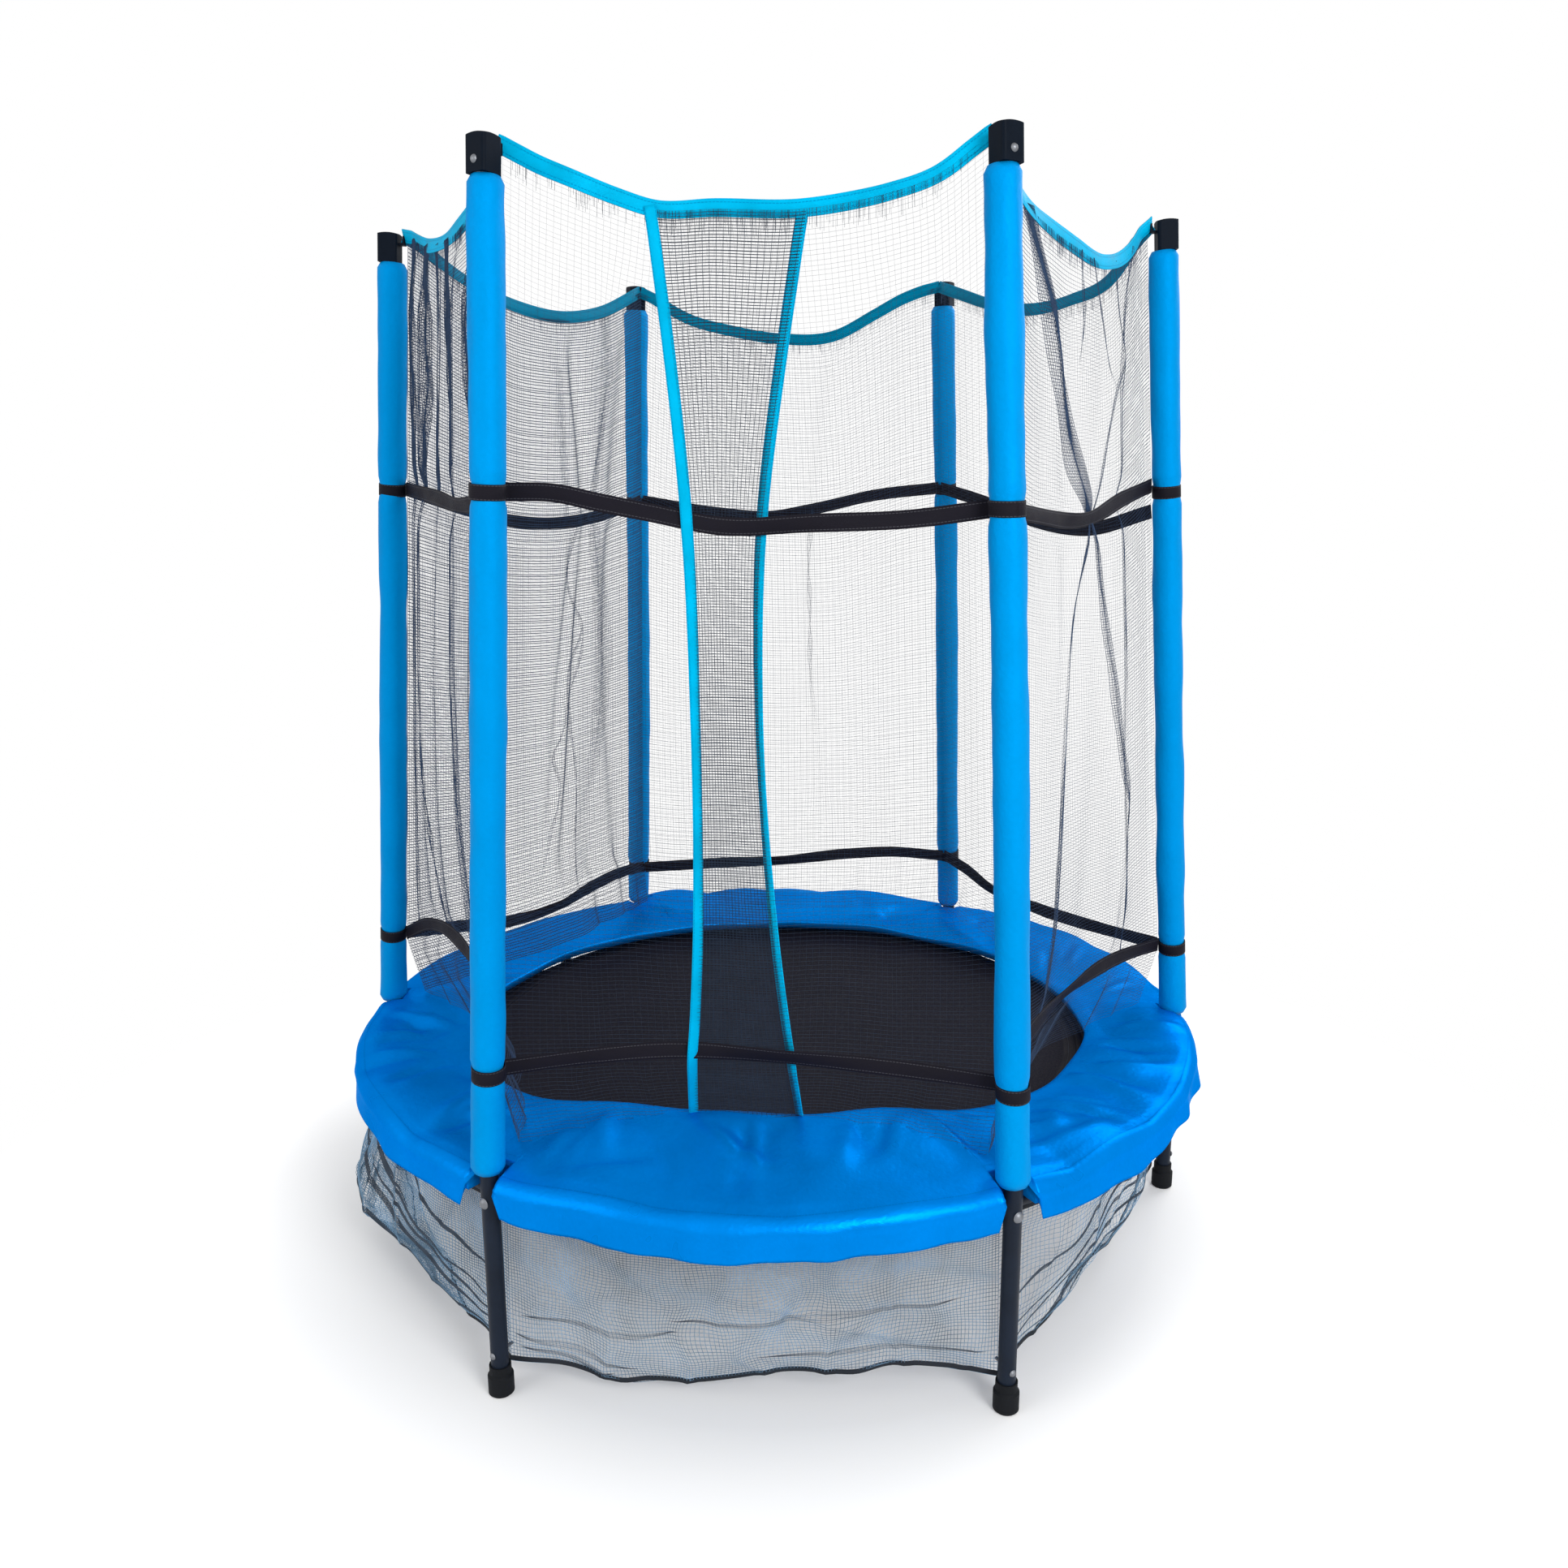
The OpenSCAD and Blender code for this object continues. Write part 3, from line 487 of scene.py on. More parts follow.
# Darker yarn for the lower net's folds: painted shade in the folds.
fold_shade_yarn = yarn("fold_shade_yarn", (0.060, 0.080, 0.110))
strap_web = webbing("strap_web", BLACK_WEB, (0.05, 0.05, 0.06), STRAP_W * 0.36, **DULL)
tab_web = webbing("tab_web", BLACK_WEB, (0.2, 0.2, 0.2), 0.005, **DULL)
hem_tape = webbing("hem_tape", CYAN, (0.0, 0.3, 0.6), TAPE_W * 0.3, 0.0011, **BLUE_GLOSS)
# Inward faces of the top tape: the same tape drawn darker, as painted shade.
hem_inside_shaded = webbing("hem_inside_shaded", CYAN_SHADED, (0.0, 0.12, 0.25), TAPE_W * 0.3, 0.0011, **BLUE_GLOSS)
net_binding = webbing("net_binding", (0.024, 0.028, 0.036), (0.08, 0.08, 0.09), 0.006, **DULL)
mat_weave = mat_cloth("mat_weave", (0.009, 0.0085, 0.0145))
border_web = webbing("border_web", (0.010, 0.009, 0.014), (0.05, 0.05, 0.06), 0.014, 0.0022, **DULL)


# Where the net hangs

def pole_point(i, along):
    """A point on the axis of upright i, at a length above the top of its leg."""
    turn = STEP * i
    r = UPRIGHT_R - along * math.sin(LEAN)
    return np.array([r * math.cos(turn), r * math.sin(turn), LEG_TOP + along * math.cos(LEAN)])


def up_pole(z):
    """Length along an upright at which it reaches a height."""
    return (z - LEG_TOP) / math.cos(LEAN)


def pole_axes(i):
    """Directions along upright i, out from its axis and sideways from it."""
    axis = unit(pole_point(i, 1.0) - pole_point(i, 0.0))
    radial, _ = axes_at(STEP * i)
    radial = unit(radial - axis * (radial @ axis))
    return axis, radial, np.cross(axis, radial)


def side_axes(side):
    return axes_at(STEP * (side + 0.5))


def apothem(z):
    """Distance of a side of the net from the middle, at a height."""
    z = np.asarray(z, float)
    corner = UPRIGHT_R - NET_INSET - (np.maximum(z, FOLD_Z) - LEG_TOP) * math.tan(LEAN)
    return corner * math.cos(STEP / 2) - FOLD_IN * np.clip((FOLD_Z - z) / (FOLD_Z - NET_LOW), 0, 1)


# Top edge of each side: places across it and drops below the corners
HEM_CURVES = [
    ([-1.0, -0.78, -0.37, 0.02, 0.40, 0.68, 1.0], [-0.008, 0.050, 0.077, 0.077, 0.053, 0.027, -0.004]),
    ([-1.0, -0.75, -0.59, -0.32, 0.06, 0.39, 0.67, 1.0],
     [-0.004, 0.022, 0.046, 0.085, 0.090, 0.074, 0.052, -0.002]),
    ([-1.0, -0.59, -0.21, 0.14, 0.33, 0.68, 1.0], [-0.002, 0.050, 0.072, 0.069, 0.060, 0.032, -0.010]),
    ([-1.0, -0.5, 0.0, 0.5, 1.0], [-0.011, 0.029, 0.042, 0.029, -0.011]),
    ([-1.0, -0.89, -0.72, -0.52, -0.38, -0.12, 0.23, 0.41, 0.60, 0.80, 1.0],
     [-0.011, 0.007, 0.028, 0.051, 0.064, 0.065, 0.067, 0.061, 0.050, 0.030, -0.012]),
    ([-1.0, -0.62, -0.33, -0.03, 0.36, 0.80, 1.0], [-0.011, 0.044, 0.060, 0.069, 0.073, 0.032, -0.011]),
]
HEM_MEAN = 0.052
# How far the tape is pulled out to the caps at the corners, and the net to the sleeves
HEM_PULL = 0.0095
CORNER_PULL = 0.0040
HEM_CURL = 0.0005
# How far below its top edge a net ends, inside the tape
NET_TUCK = 0.6 * TAPE_W


def hem_z(side, u):
    return NET_TOP - curve_through(*HEM_CURVES[side], np.clip(u, -1, 1))


# Belts of webbing: places across each side, heights there, and the height of each loop
UPPER_LOOPS = [1.230, 1.245, 1.222, 1.240, 1.228, 1.205]
UPPER_CURVES = [
    ([-1.0, -0.49, 0.05, 0.42, 1.0], [1.198, 1.168, 1.184, 1.211, 1.245]),
    ([-1.0, -0.57, -0.14, 0.13, 0.5, 1.0], [1.245, 1.231, 1.203, 1.190, 1.198, 1.222]),
    ([-1.0, -0.45, -0.08, 0.29, 0.63, 1.0], [1.222, 1.187, 1.180, 1.189, 1.211, 1.240]),
    ([-1.0, -0.3, 0.32, 1.0], [1.240, 1.226, 1.212, 1.228]),
    ([-1.0, -0.78, -0.61, -0.38, -0.1, 0.26, 0.68, 1.0],
     [1.228, 1.226, 1.215, 1.201, 1.185, 1.188, 1.193, 1.205]),
    ([-1.0, -0.7, 0.04, 0.55, 1.0], [1.205, 1.198, 1.189, 1.218, 1.239]),
]
LOWER_LOOPS = [0.458, 0.456, 0.424, 0.462, 0.477, 0.466]
LOWER_CURVES = [
    ([-1.0, -0.56, -0.07, 0.45, 0.71, 1.0], [0.460, 0.447, 0.437, 0.436, 0.449, 0.458]),
    ([-1.0, -0.66, -0.40, 0.09, 0.41, 1.0], [0.456, 0.465, 0.461, 0.444, 0.439, 0.424]),
    ([-1.0, -0.74, -0.43, -0.14, 0.27, 0.65, 1.0], [0.426, 0.433, 0.428, 0.417, 0.420, 0.441, 0.462]),
    ([-1.0, -0.75, -0.5, 0.0, 0.5, 1.0], [0.462, 0.500, 0.519, 0.522, 0.506, 0.474]),
    ([-1.0, -0.6, -0.35, 0.17, 0.57, 1.0], [0.474, 0.484, 0.488, 0.478, 0.472, 0.466]),
    ([-1.0, -0.5, 0.0, 0.5, 1.0], [0.464, 0.476, 0.480, 0.476, 0.460]),
]
# Half the height over which a belt holds the net flat
BELT_REACH = 0.030
# How far the net is drawn in over the pad in the middle of each side: heights and distances
BOW_Z = [NET_LOW, 0.475, 0.70, 0.95]
NET_BOWS = [
    [0.030, 0.006, 0.0, 0.0],
    [0.030, 0.006, 0.0, 0.0],
    [0.030, 0.006, 0.0, 0.0],
    [0.066, 0.042, 0.012, 0.0],
    [0.074, 0.045, 0.014, 0.0],
    [0.058, 0.034, 0.010, 0.0],
]
# Gathers in the net of a side: heights, places across, half width, pull and lift
GATHERS = {
    0: [([0.50, 1.00, 1.50], [0.35, 0.28, 0.42], 0.10, 0.45, 0.006)],
    1: [([0.60, 1.10, 1.50], [-0.20, -0.12, -0.25], 0.10, 0.35, 0.006)],
    2: [([0.50, 0.93, 1.19, 1.50], [-0.16, -0.31, -0.39, -0.28], 0.07, 0.72, 0.007),
        ([0.60, 0.90, 1.15], [-0.08, -0.17, -0.30], 0.05, 0.55, 0.008),
        ([0.45, 1.00, 1.50], [-0.72, -0.62, -0.80], 0.10, 0.45, 0.006)],
    3: [([0.45, 1.00, 1.60], [-0.80, -0.76, -0.88], 0.09, 0.80, 0.007),
        ([0.45, 1.00, 1.60], [-0.55, -0.52, -0.60], 0.08, 0.80, 0.008),
        ([0.45, 1.00, 1.60], [-0.22, -0.28, -0.20], 0.09, 0.75, 0.007),
        ([0.45, 1.00, 1.60], [0.15, 0.10, 0.16], 0.08, 0.80, 0.008),
        ([0.45, 1.00, 1.60], [0.52, 0.48, 0.58], 0.09, 0.75, 0.007)],
    4: [([0.50, 1.00, 1.45], [-0.62, -0.66, -0.58], 0.09, 0.35, 0.006),
        ([0.50, 1.00, 1.45], [0.60, 0.55, 0.62], 0.09, 0.30, 0.006)],
    5: [([0.55, 0.73, 0.84, 1.00, 1.19, 1.28, 1.39, 1.56],
         [0.62, 0.52, 0.41, 0.27, 0.10, -0.10, -0.29, -0.62], 0.085, 0.84, 0.007),
        ([0.60, 0.79, 0.90, 1.05, 1.19, 1.28, 1.41, 1.57],
         [-0.38, -0.34, -0.27, -0.12, 0.10, 0.25, 0.47, 0.82], 0.06, 0.82, 0.006),
        ([0.50, 0.90, 1.30, 1.52], [0.48, 0.50, 0.46, 0.50], 0.04, 0.62, 0.006),
        ([1.42, 1.53], [0.02, 0.06], 0.03, 0.6, 0.004)],
}
# Gathers at the foot of every net: places across, half width, pull and lift
FOOT_GATHERS = (-0.90, -0.72, -0.45, 0.45, 0.72, 0.90)
FOOT_GATHER = (0.06, 0.45, 0.008)


def net_folds(side, u, z):
    """Sideways shift (as a share of half the width) and outward lift of the net at a place."""
    phase = np.random.default_rng(40 + side).uniform(0, 2 * math.pi, 3)
    calm = 1 - np.asarray(u) ** 2
    lift = 0.006 * calm * np.sin(7.0 * u + 1.4 * z + phase[0])
    lift = lift + 0.003 * calm * np.sin(15.0 * u - 2.2 * z + phase[1])
    shift = 0.006 * calm * np.sin(9.0 * u + 3.0 * z + phase[2])
    gathers = []
    for heights, places, *form in GATHERS[side]:
        start = smooth(z, heights[0] - 0.08, heights[0] + 0.03)
        fade = start * (1 - smooth(z, heights[-1], heights[-1] + 0.07))
        gathers.append((curve_through(heights, places, z), fade, *form))
    low = 1 - smooth(z, FOLD_Z - 0.03, FOLD_Z + 0.09)
    gathers += [(place, low, *FOOT_GATHER) for place in FOOT_GATHERS]
    for centre, fade, width, pull, rise in gathers:
        bunch = fade * np.exp(-(((u - centre) / width) ** 2))
        shift = shift - pull * (u - centre) * bunch
        lift = lift + rise * bunch
    under_hem = hem_z(side, u) - z
    free = smooth(under_hem, 0.012, 0.13)
    for curves in (UPPER_CURVES, LOWER_CURVES):
        gap = (z - curve_through(*curves[side], u)) / BELT_REACH
        free = free * (1 - np.exp(-gap ** 2))
    return shift * smooth(under_hem, 0.0, 0.10), lift * free


def net_point(side, u, z, off=0.0, shifted=1.0, lifted=1.0, tied=0.0):
    """A point of the net of a side, at a share of half its width and a height.

    It lies off outwards, takes shares of the folds' shift and lift, and at the ends is tied to the uprights.
    """
    u, z = np.broadcast_arrays(np.asarray(u, float), np.asarray(z, float))
    out, along = side_axes(side)
    shift, lift = net_folds(side, u, z)
    a = apothem(z)
    pull = tied * smooth(np.abs(u), 0.93, 1.0)
    across = (u + shifted * shift) * a * TAN_HALF + np.sign(u) * pull * math.sin(STEP / 2)
    bow = curve_through(BOW_Z, NET_BOWS[side], z) * np.maximum(1 - u * u, 0)
    away = a + off + lifted * lift - bow + pull * math.cos(STEP / 2)
    return away[..., None] * out + across[..., None] * along + z[..., None] * UP


# Free edges of the door's two flaps: heights and distances from the middle of the side
EDGE_Z = [0.30, 0.415, 0.66, 0.95, 1.193, 1.40, 1.60]
LEFT_EDGE = [-0.092, -0.086, -0.069, -0.065, -0.072, -0.092, -0.119]
RIGHT_EDGE = [0.070, 0.060, 0.034, 0.016, 0.019, 0.044, 0.078]
FLAP_GAP = 0.003


def door_edge(places, z):
    return curve_through(EDGE_Z, places, z) / (apothem(z) * TAN_HALF)


# Yarns of the nets: pitches and thicknesses, and the points that draw a row and a column. The depth of a row
# is apart from its width, and adds surface that hardly shows from outside
ROW_PITCHES = [0.0052, 0.0056, 0.0050, 0.0054, 0.0060, 0.0055]
ROW_YARN = 0.00022
ROW_DEPTH = 0.00085
ROW_POINT = 0.020
ROW_POINTS_MIN = 20
COLUMN_PITCH = 0.0056
COLUMN_YARN = 0.00025
COLUMN_POINTS = 42
# Separate yarns have less surface, so these are chosen to bring them within the limits for a sheet
# Fullness of the gathered net on each side, and the thickness of its rows and columns next to a plain yarn
FULLNESS = [1.0, 1.0, 1.6, 1.4, 0.75, 0.9]
ROW_STOUT = [1.1, 2.0, 6.0, 1.3, 0.65, 0.5]
COLUMN_STOUT = [0.7, 0.9, 2.3, 0.9, 0.6, 0.45]
ROW_JITTER = [0.0003, 0.0003, 0.0005, 0.0005, 0.0003, 0.0003]
# Where the flaps lap: rows to each row of a net, points along them, columns, points up them, thicknesses
LAP_ROWS = 1.6
LAP_ROW_POINTS = 14
LAP_COLUMNS = 22
LAP_COLUMN_POINTS = 60
LAP_ROW_YARN = ROW_YARN * 2.4
LAP_COLUMN_YARN = COLUMN_YARN * 1.2
# Loose ends under the top tape: spacing, shortest and longest, thickness
TUFT_PITCH = 0.0021
TUFT_DROP = (0.006, 0.030)
TUFT_YARN = COLUMN_YARN * 1.25
# How far the folds of each side waver, how thick their yarns are, and their pitches along and across a fold
PLEAT_WAVER = [1.0, 2.4, 1.0, 1.8, 1.0, 0.8]
PLEAT_STOUT = [1.0, 1.2, 1.5, 2.8, 1.0, 2.0]
PLEAT_PITCHES = [0.0028, 0.0028, 0.0036, 0.0028, 0.0028, 0.0040]
PLEAT_ROW = 0.0040
PLEAT_POINTS = 40
PLEAT_OFF = 0.0012
PLEAT_YARN = COLUMN_YARN * 1.3
PLEAT_ROW_YARN = ROW_YARN * 1.7
# Half width from which a fold is broad, and how thick its yarns then are next to those of a narrow fold
PLEAT_BROAD = 0.010
BROAD_STOUT = [1.0, 1.0, 0.6, 1.0, 1.0, 1.0]
# How near the end of a fold has to be to a belt or the top tape to run on under it
PLEAT_SNAP = 0.045
# Places where the net of a side is folded over itself: heights, places across, half widths in metres
NET_PLEATS = {
    1: [([0.75, 1.00, 1.18], [-0.16, -0.12, -0.15], [0.001, 0.002, 0.001])],
    2: [([0.46, 0.67, 0.80, 0.88, 0.99, 1.04, 1.18], [-0.31, -0.34, -0.29, -0.27, -0.40, -0.30, -0.37],
         [0.001, 0.002, 0.004, 0.002, 0.003, 0.002, 0.003]),
        ([0.47, 0.56, 0.66, 0.72, 0.80, 0.86], [0.00, -0.10, -0.18, -0.13, -0.25, -0.18],
         [0.004, 0.003, 0.002, 0.003, 0.002, 0.003]),
        ([0.84, 0.92, 0.98], [-0.29, -0.39, -0.42], [0.001, 0.002, 0.002]),
        ([0.59, 0.76, 0.99, 1.16], [-0.41, -0.57, -0.61, -0.50], [0.012, 0.024, 0.026, 0.016]),
        ([1.22, 1.37, 1.50], [-0.25, -0.20, -0.16], [0.008, 0.012, 0.010]),
        ([1.22, 1.37, 1.44, 1.55], [-0.46, -0.61, -0.66, -0.62], [0.006, 0.014, 0.018, 0.014]),
        ([1.24, 1.37, 1.44], [-0.48, -0.60, -0.65], [0.001, 0.002, 0.002])],
    3: [([0.48, 0.80, 1.20], [-0.86, -0.78, -0.82], [0.002, 0.004, 0.003]),
        ([0.50, 0.85, 1.20], [-0.40, -0.55, -0.60], [0.002, 0.005, 0.004]),
        ([0.62, 0.95, 1.20], [0.02, 0.10, 0.16], [0.001, 0.003, 0.002]),
        ([1.25, 1.42, 1.60], [-0.76, -0.80, -0.88], [0.007, 0.015, 0.010]),
        ([1.25, 1.44, 1.58], [-0.52, -0.46, -0.56], [0.008, 0.020, 0.012]),
        ([1.25, 1.40, 1.57], [-0.22, -0.28, -0.30], [0.006, 0.013, 0.008]),
        ([1.25, 1.42, 1.57], [0.10, -0.02, -0.08], [0.007, 0.018, 0.011]),
        ([1.26, 1.42, 1.58], [0.52, 0.40, 0.46], [0.006, 0.015, 0.009])],
    5: [([0.515, 0.73, 0.84, 1.00, 1.18], [0.62, 0.52, 0.41, 0.27, 0.10],
         [0.001, 0.005, 0.012, 0.012, 0.004]),
        ([1.20, 1.28, 1.39, 1.55], [0.08, -0.10, -0.29, -0.61], [0.012, 0.034, 0.040, 0.018]),
        ([0.51, 0.66, 0.79, 0.90, 1.05, 1.18], [-0.39, -0.37, -0.34, -0.27, -0.12, 0.09],
         [0.006, 0.013, 0.010, 0.0015, 0.0015, 0.002]),
        ([1.20, 1.28, 1.41, 1.56], [0.12, 0.25, 0.47, 0.80], [0.004, 0.003, 0.002, 0.003]),
        ([0.92, 1.05, 1.17], [0.49, 0.48, 0.46], [0.0008, 0.0012, 0.0008]),
        ([1.23, 1.38, 1.52], [0.45, 0.48, 0.52], [0.0008, 0.0014, 0.001]),
        ([1.40, 1.47, 1.535], [0.00, 0.03, 0.04], [0.0006, 0.0015, 0.002]),
        ([1.38, 1.46, 1.53], [0.40, 0.30, 0.20], [0.0006, 0.0015, 0.002])],
}


def pleat_end(side, u, z):
    """Height at which a fold ends, under a belt or the top tape if one is near, and whether one is."""
    belts = [float(curve_through(*curves[side], u)) for curves in (UPPER_CURVES, LOWER_CURVES)]
    for edge in belts + [float(hem_z(side, u)) - TAPE_W / 2]:
        if abs(edge - z) < PLEAT_SNAP:
            return edge, True
    return z, False


def add_pleat(shape, side, heights, places, halves):
    """Close-set yarns where a fold lies along the net, closest in its middle, thin at its free ends."""
    out, _ = side_axes(side)
    thick = PLEAT_STOUT[side] * (BROAD_STOUT[side] if max(halves) > PLEAT_BROAD else 1.0)
    low, low_held = pleat_end(side, places[0], heights[0])
    high, high_held = pleat_end(side, places[-1], heights[-1])
    heights = [low] + heights[1:-1] + [high]

    def yarns(share, along):
        z = low + (high - low) * along
        wander = 0.0014 * np.sin(55 * z + 2.0 * share) + 0.0012 * np.sin(23 * z + side)
        spread = share * curve_through(heights, halves, z) + PLEAT_WAVER[side] * wander
        u = curve_through(heights, places, z) + spread / (apothem(z) * TAN_HALF)
        fade = np.ones(along.shape)
        if not low_held:
            fade = fade * smooth(along, -0.08, 0.35)
        if not high_held:
            fade = fade * (1 - smooth(along, 0.65, 1.08))
        return net_point(side, u, z, PLEAT_OFF, 0.0), fade[..., None] * thick

    count = max(3, int(2 * max(halves) / PLEAT_PITCHES[side]) + 1)
    across = np.linspace(-1, 1, count)[:, None]
    lines, stout = yarns(across * np.sqrt(np.abs(across)), np.linspace(0, 1, PLEAT_POINTS)[None])
    threads(shape, lines, out, PLEAT_YARN * stout)
    rows = int((high - low) / PLEAT_ROW)
    lines, stout = yarns(np.linspace(-1, 1, 5)[None], np.linspace(0, 1, rows)[:, None])
    threads(shape, lines, out, PLEAT_ROW_YARN * stout)


def net_yarns(name, node, side, left, right, off, seed, lap=None):
    """A knitted panel between two edges, each a function of height, from the pad up into the top tape."""
    random = np.random.default_rng(seed)
    out, _ = side_axes(side)
    shape = Shape()
    height = NET_TOP - HEM_MEAN - NET_LOW
    width = 2 * float(apothem(1.0)) * TAN_HALF * float(np.mean(right(1.0) - left(1.0))) / 2

    def place(a, b, edges=(left, right)):
        guess = NET_LOW + b * height
        start, end = [edge(guess) for edge in edges]
        u = start + (end - start) * a
        return u, NET_LOW + b * (hem_z(side, u) - NET_TUCK - NET_LOW)

    rows = int(height / ROW_PITCHES[side])
    points = max(ROW_POINTS_MIN, int(width / ROW_POINT))
    a, b = np.meshgrid(np.linspace(0, 1, points), np.linspace(0, 1, rows))
    b = np.clip(b + random.normal(0, ROW_JITTER[side], (rows, 1)), 0, 1)
    lines = net_point(side, *place(a, b), off, tied=CORNER_PULL)
    threads(shape, lines, out, ROW_YARN * ROW_STOUT[side], ROW_DEPTH)
    columns = int(width / COLUMN_PITCH * FULLNESS[side])
    b, a = np.meshgrid(np.linspace(0, 1, COLUMN_POINTS), np.linspace(0, 1, columns))
    lines = net_point(side, *place(a, b), off, tied=CORNER_PULL)
    threads(shape, lines, out, COLUMN_YARN * COLUMN_STOUT[side])
    if lap is not None:
        a, b = np.meshgrid(np.linspace(0, 1, LAP_ROW_POINTS), np.linspace(0.002, 0.998, int(LAP_ROWS * rows)))
        threads(shape, net_point(side, *place(a, b, lap), off * 0.5), out, LAP_ROW_YARN)
        b, a = np.meshgrid(np.linspace(0, 1, LAP_COLUMN_POINTS), np.linspace(0.02, 0.98, LAP_COLUMNS))
        threads(shape, net_point(side, *place(a, b, lap), off * 0.5), out, LAP_COLUMN_YARN)
    for pleat in NET_PLEATS.get(side, []):
        add_pleat(shape, side, *pleat)
    tufts = int(width / TUFT_PITCH)
    a = random.uniform(0.01, 0.99, (tufts, 1))
    drop = random.uniform(*TUFT_DROP, (tufts, 1)) * np.array([[0.0, 0.5, 1.0]])
    u, z = place(np.repeat(a, 3, 1), np.ones((tufts, 3)))
    threads(shape, net_point(side, u, z - drop, off + 0.001), out, TUFT_YARN)
    piece = shape.piece(name, door_yarn if side == DOOR_SIDE else net_yarn)
    placed(piece, "frame", "net_mesh", node)


NET_EDGE = 0.997


def pole_edge(sign):
    """The edge of a net at an upright, as a function of height."""
    return lambda z: sign * NET_EDGE + 0 * z


def flap_edge(places):
    """The free edge of a flap of the door, as a function of height."""
    return lambda z: door_edge(places, z)


def make_nets():
    first = pole_edge(-1)
    last = pole_edge(1)
    for n in range(1, SIDES):
        net_yarns(f"net_{n}", f"net_panel_{n}", (DOOR_SIDE + n) % SIDES, first, last, 0.0, 10 + n)
    left = flap_edge(LEFT_EDGE)
    right = flap_edge(RIGHT_EDGE)
    lap = (left, right)
    net_yarns("door_net_left", "door_flap_left", DOOR_SIDE, first, right, -FLAP_GAP, 21, lap)
    net_yarns("door_net_right", "door_flap_right", DOOR_SIDE, left, last, FLAP_GAP, 22, lap)


# Tapes on the net's edges, and belts

def make_top_hem():
    shape = Shape()
    u = np.linspace(-1.005, 1.005, 90)
    for side in range(SIDES):
        out, _ = side_axes(side)
        z = hem_z(side, u) - TAPE_W / 2
        curl = HEM_CURL * np.sin(11 * u + 2 * side)
        path = net_point(side, u, z, shifted=0.0, lifted=0.0) + curl[:, None] * out
        pull = HEM_PULL * smooth(np.abs(u), 0.90, 1.0)
        path = path + pull[:, None] * circle(STEP * (side + (u > 0)), 1.0, 0.0)
        facing = out[None] + (0.25 * np.sin(5 * u + side))[:, None] * UP
        # The inward faces take the darker copy of the tape, which is painted shade.
        band(shape, path, facing, TAPE_W, TAPE_T, outer=0, inner=1)
    placed(shape.piece("top_hem_tape", hem_tape, hem_inside_shaded), "frame", "binding", "top_hem")


DOOR_TAPE_W = 0.015
# Tapes of the door: edge, side of the net, twist, and how far it rides out over the belts
DOOR_TAPES = {"left": (LEFT_EDGE, 1, 0.75, 0.008), "right": (RIGHT_EDGE, -1, -0.85, 0.0)}
DOOR_BELTS = (1.186, 0.48)


def make_door_tapes():
    out, along = side_axes(DOOR_SIDE)
    share = np.linspace(0, 1, 200)
    for name, (places, off, twist, over) in DOOR_TAPES.items():
        u = door_edge(places, NET_LOW + (NET_TOP - 0.08 - NET_LOW) * share)
        top = hem_z(DOOR_SIDE, u) - 0.4 * TAPE_W
        z = NET_LOW + 0.004 + (top - NET_LOW - 0.004) * share
        lap = sum(over * np.exp(-(((z - belt) / 0.03) ** 2)) for belt in DOOR_BELTS)
        path = net_point(DOOR_SIDE, door_edge(places, z), z, off * FLAP_GAP) + lap[:, None] * out
        turn = twist * (1 - smooth(z, 0.95, 1.5)) * (0.85 + 0.15 * np.sin(9 * z))
        shape = Shape()
        band(shape, path, spokes(turn, out, along), DOOR_TAPE_W, TAPE_T)
        placed(shape.piece(f"door_tape_{name}", hem_tape), "frame", "binding", "door_tapes")


LOOP_SIDES = 48
LOOP_SINK = 0.0012
LOOP_W = STRAP_W * 0.86
STRAP_OFF = 0.0045
# How much further out a belt lies over the lapped flaps
LAP_OFF = 0.003


def make_strap(name, node, loops, curves):
    """A belt: a band across each side of the net and a loop round each sleeve."""
    shape = Shape()
    u = np.linspace(-1.0, 1.0, 70)
    turn = np.linspace(0, 2 * math.pi, LOOP_SIDES, endpoint=False)
    for i in range(SIDES):
        out, _ = side_axes(i)
        off = STRAP_OFF + LAP_OFF * (i == DOOR_SIDE) * (1 - u ** 4)
        path = net_point(i, u, curve_through(*curves[i], u), off, shifted=0.0, lifted=0.0)
        tip = 0.35 * np.sin(6 * u + i) * (1 - u * u)
        band(shape, path, out[None] + tip[:, None] * UP, STRAP_W, STRAP_T)
        axis, radial, side = pole_axes(i)
        normal = spokes(turn, radial, side)
        ring = pole_point(i, up_pole(loops[i])) + normal * (FOAM_R - LOOP_SINK)
        ring = ring + axis * (0.003 * np.sin(turn + i))[:, None]
        ribbon(shape, ring, np.repeat(axis[None], LOOP_SIDES, 0), normal, LOOP_W, STRAP_T, closed=True)
    placed(shape.piece(name, strap_web), "frame", "webbing", node)


# Foam sleeves, drawn in a little where a belt goes round them

SLEEVE_RINGS = 150
SLEEVE_SIDES = 48
SLEEVE_START = 0.002
SLEEVE_LENGTH = up_pole(FOAM_TOP) - 0.0022
SLEEVE_BORE = FOAM_R - 0.010
SLEEVE_ROUND = 0.0045
BELT_DENT = 0.0028


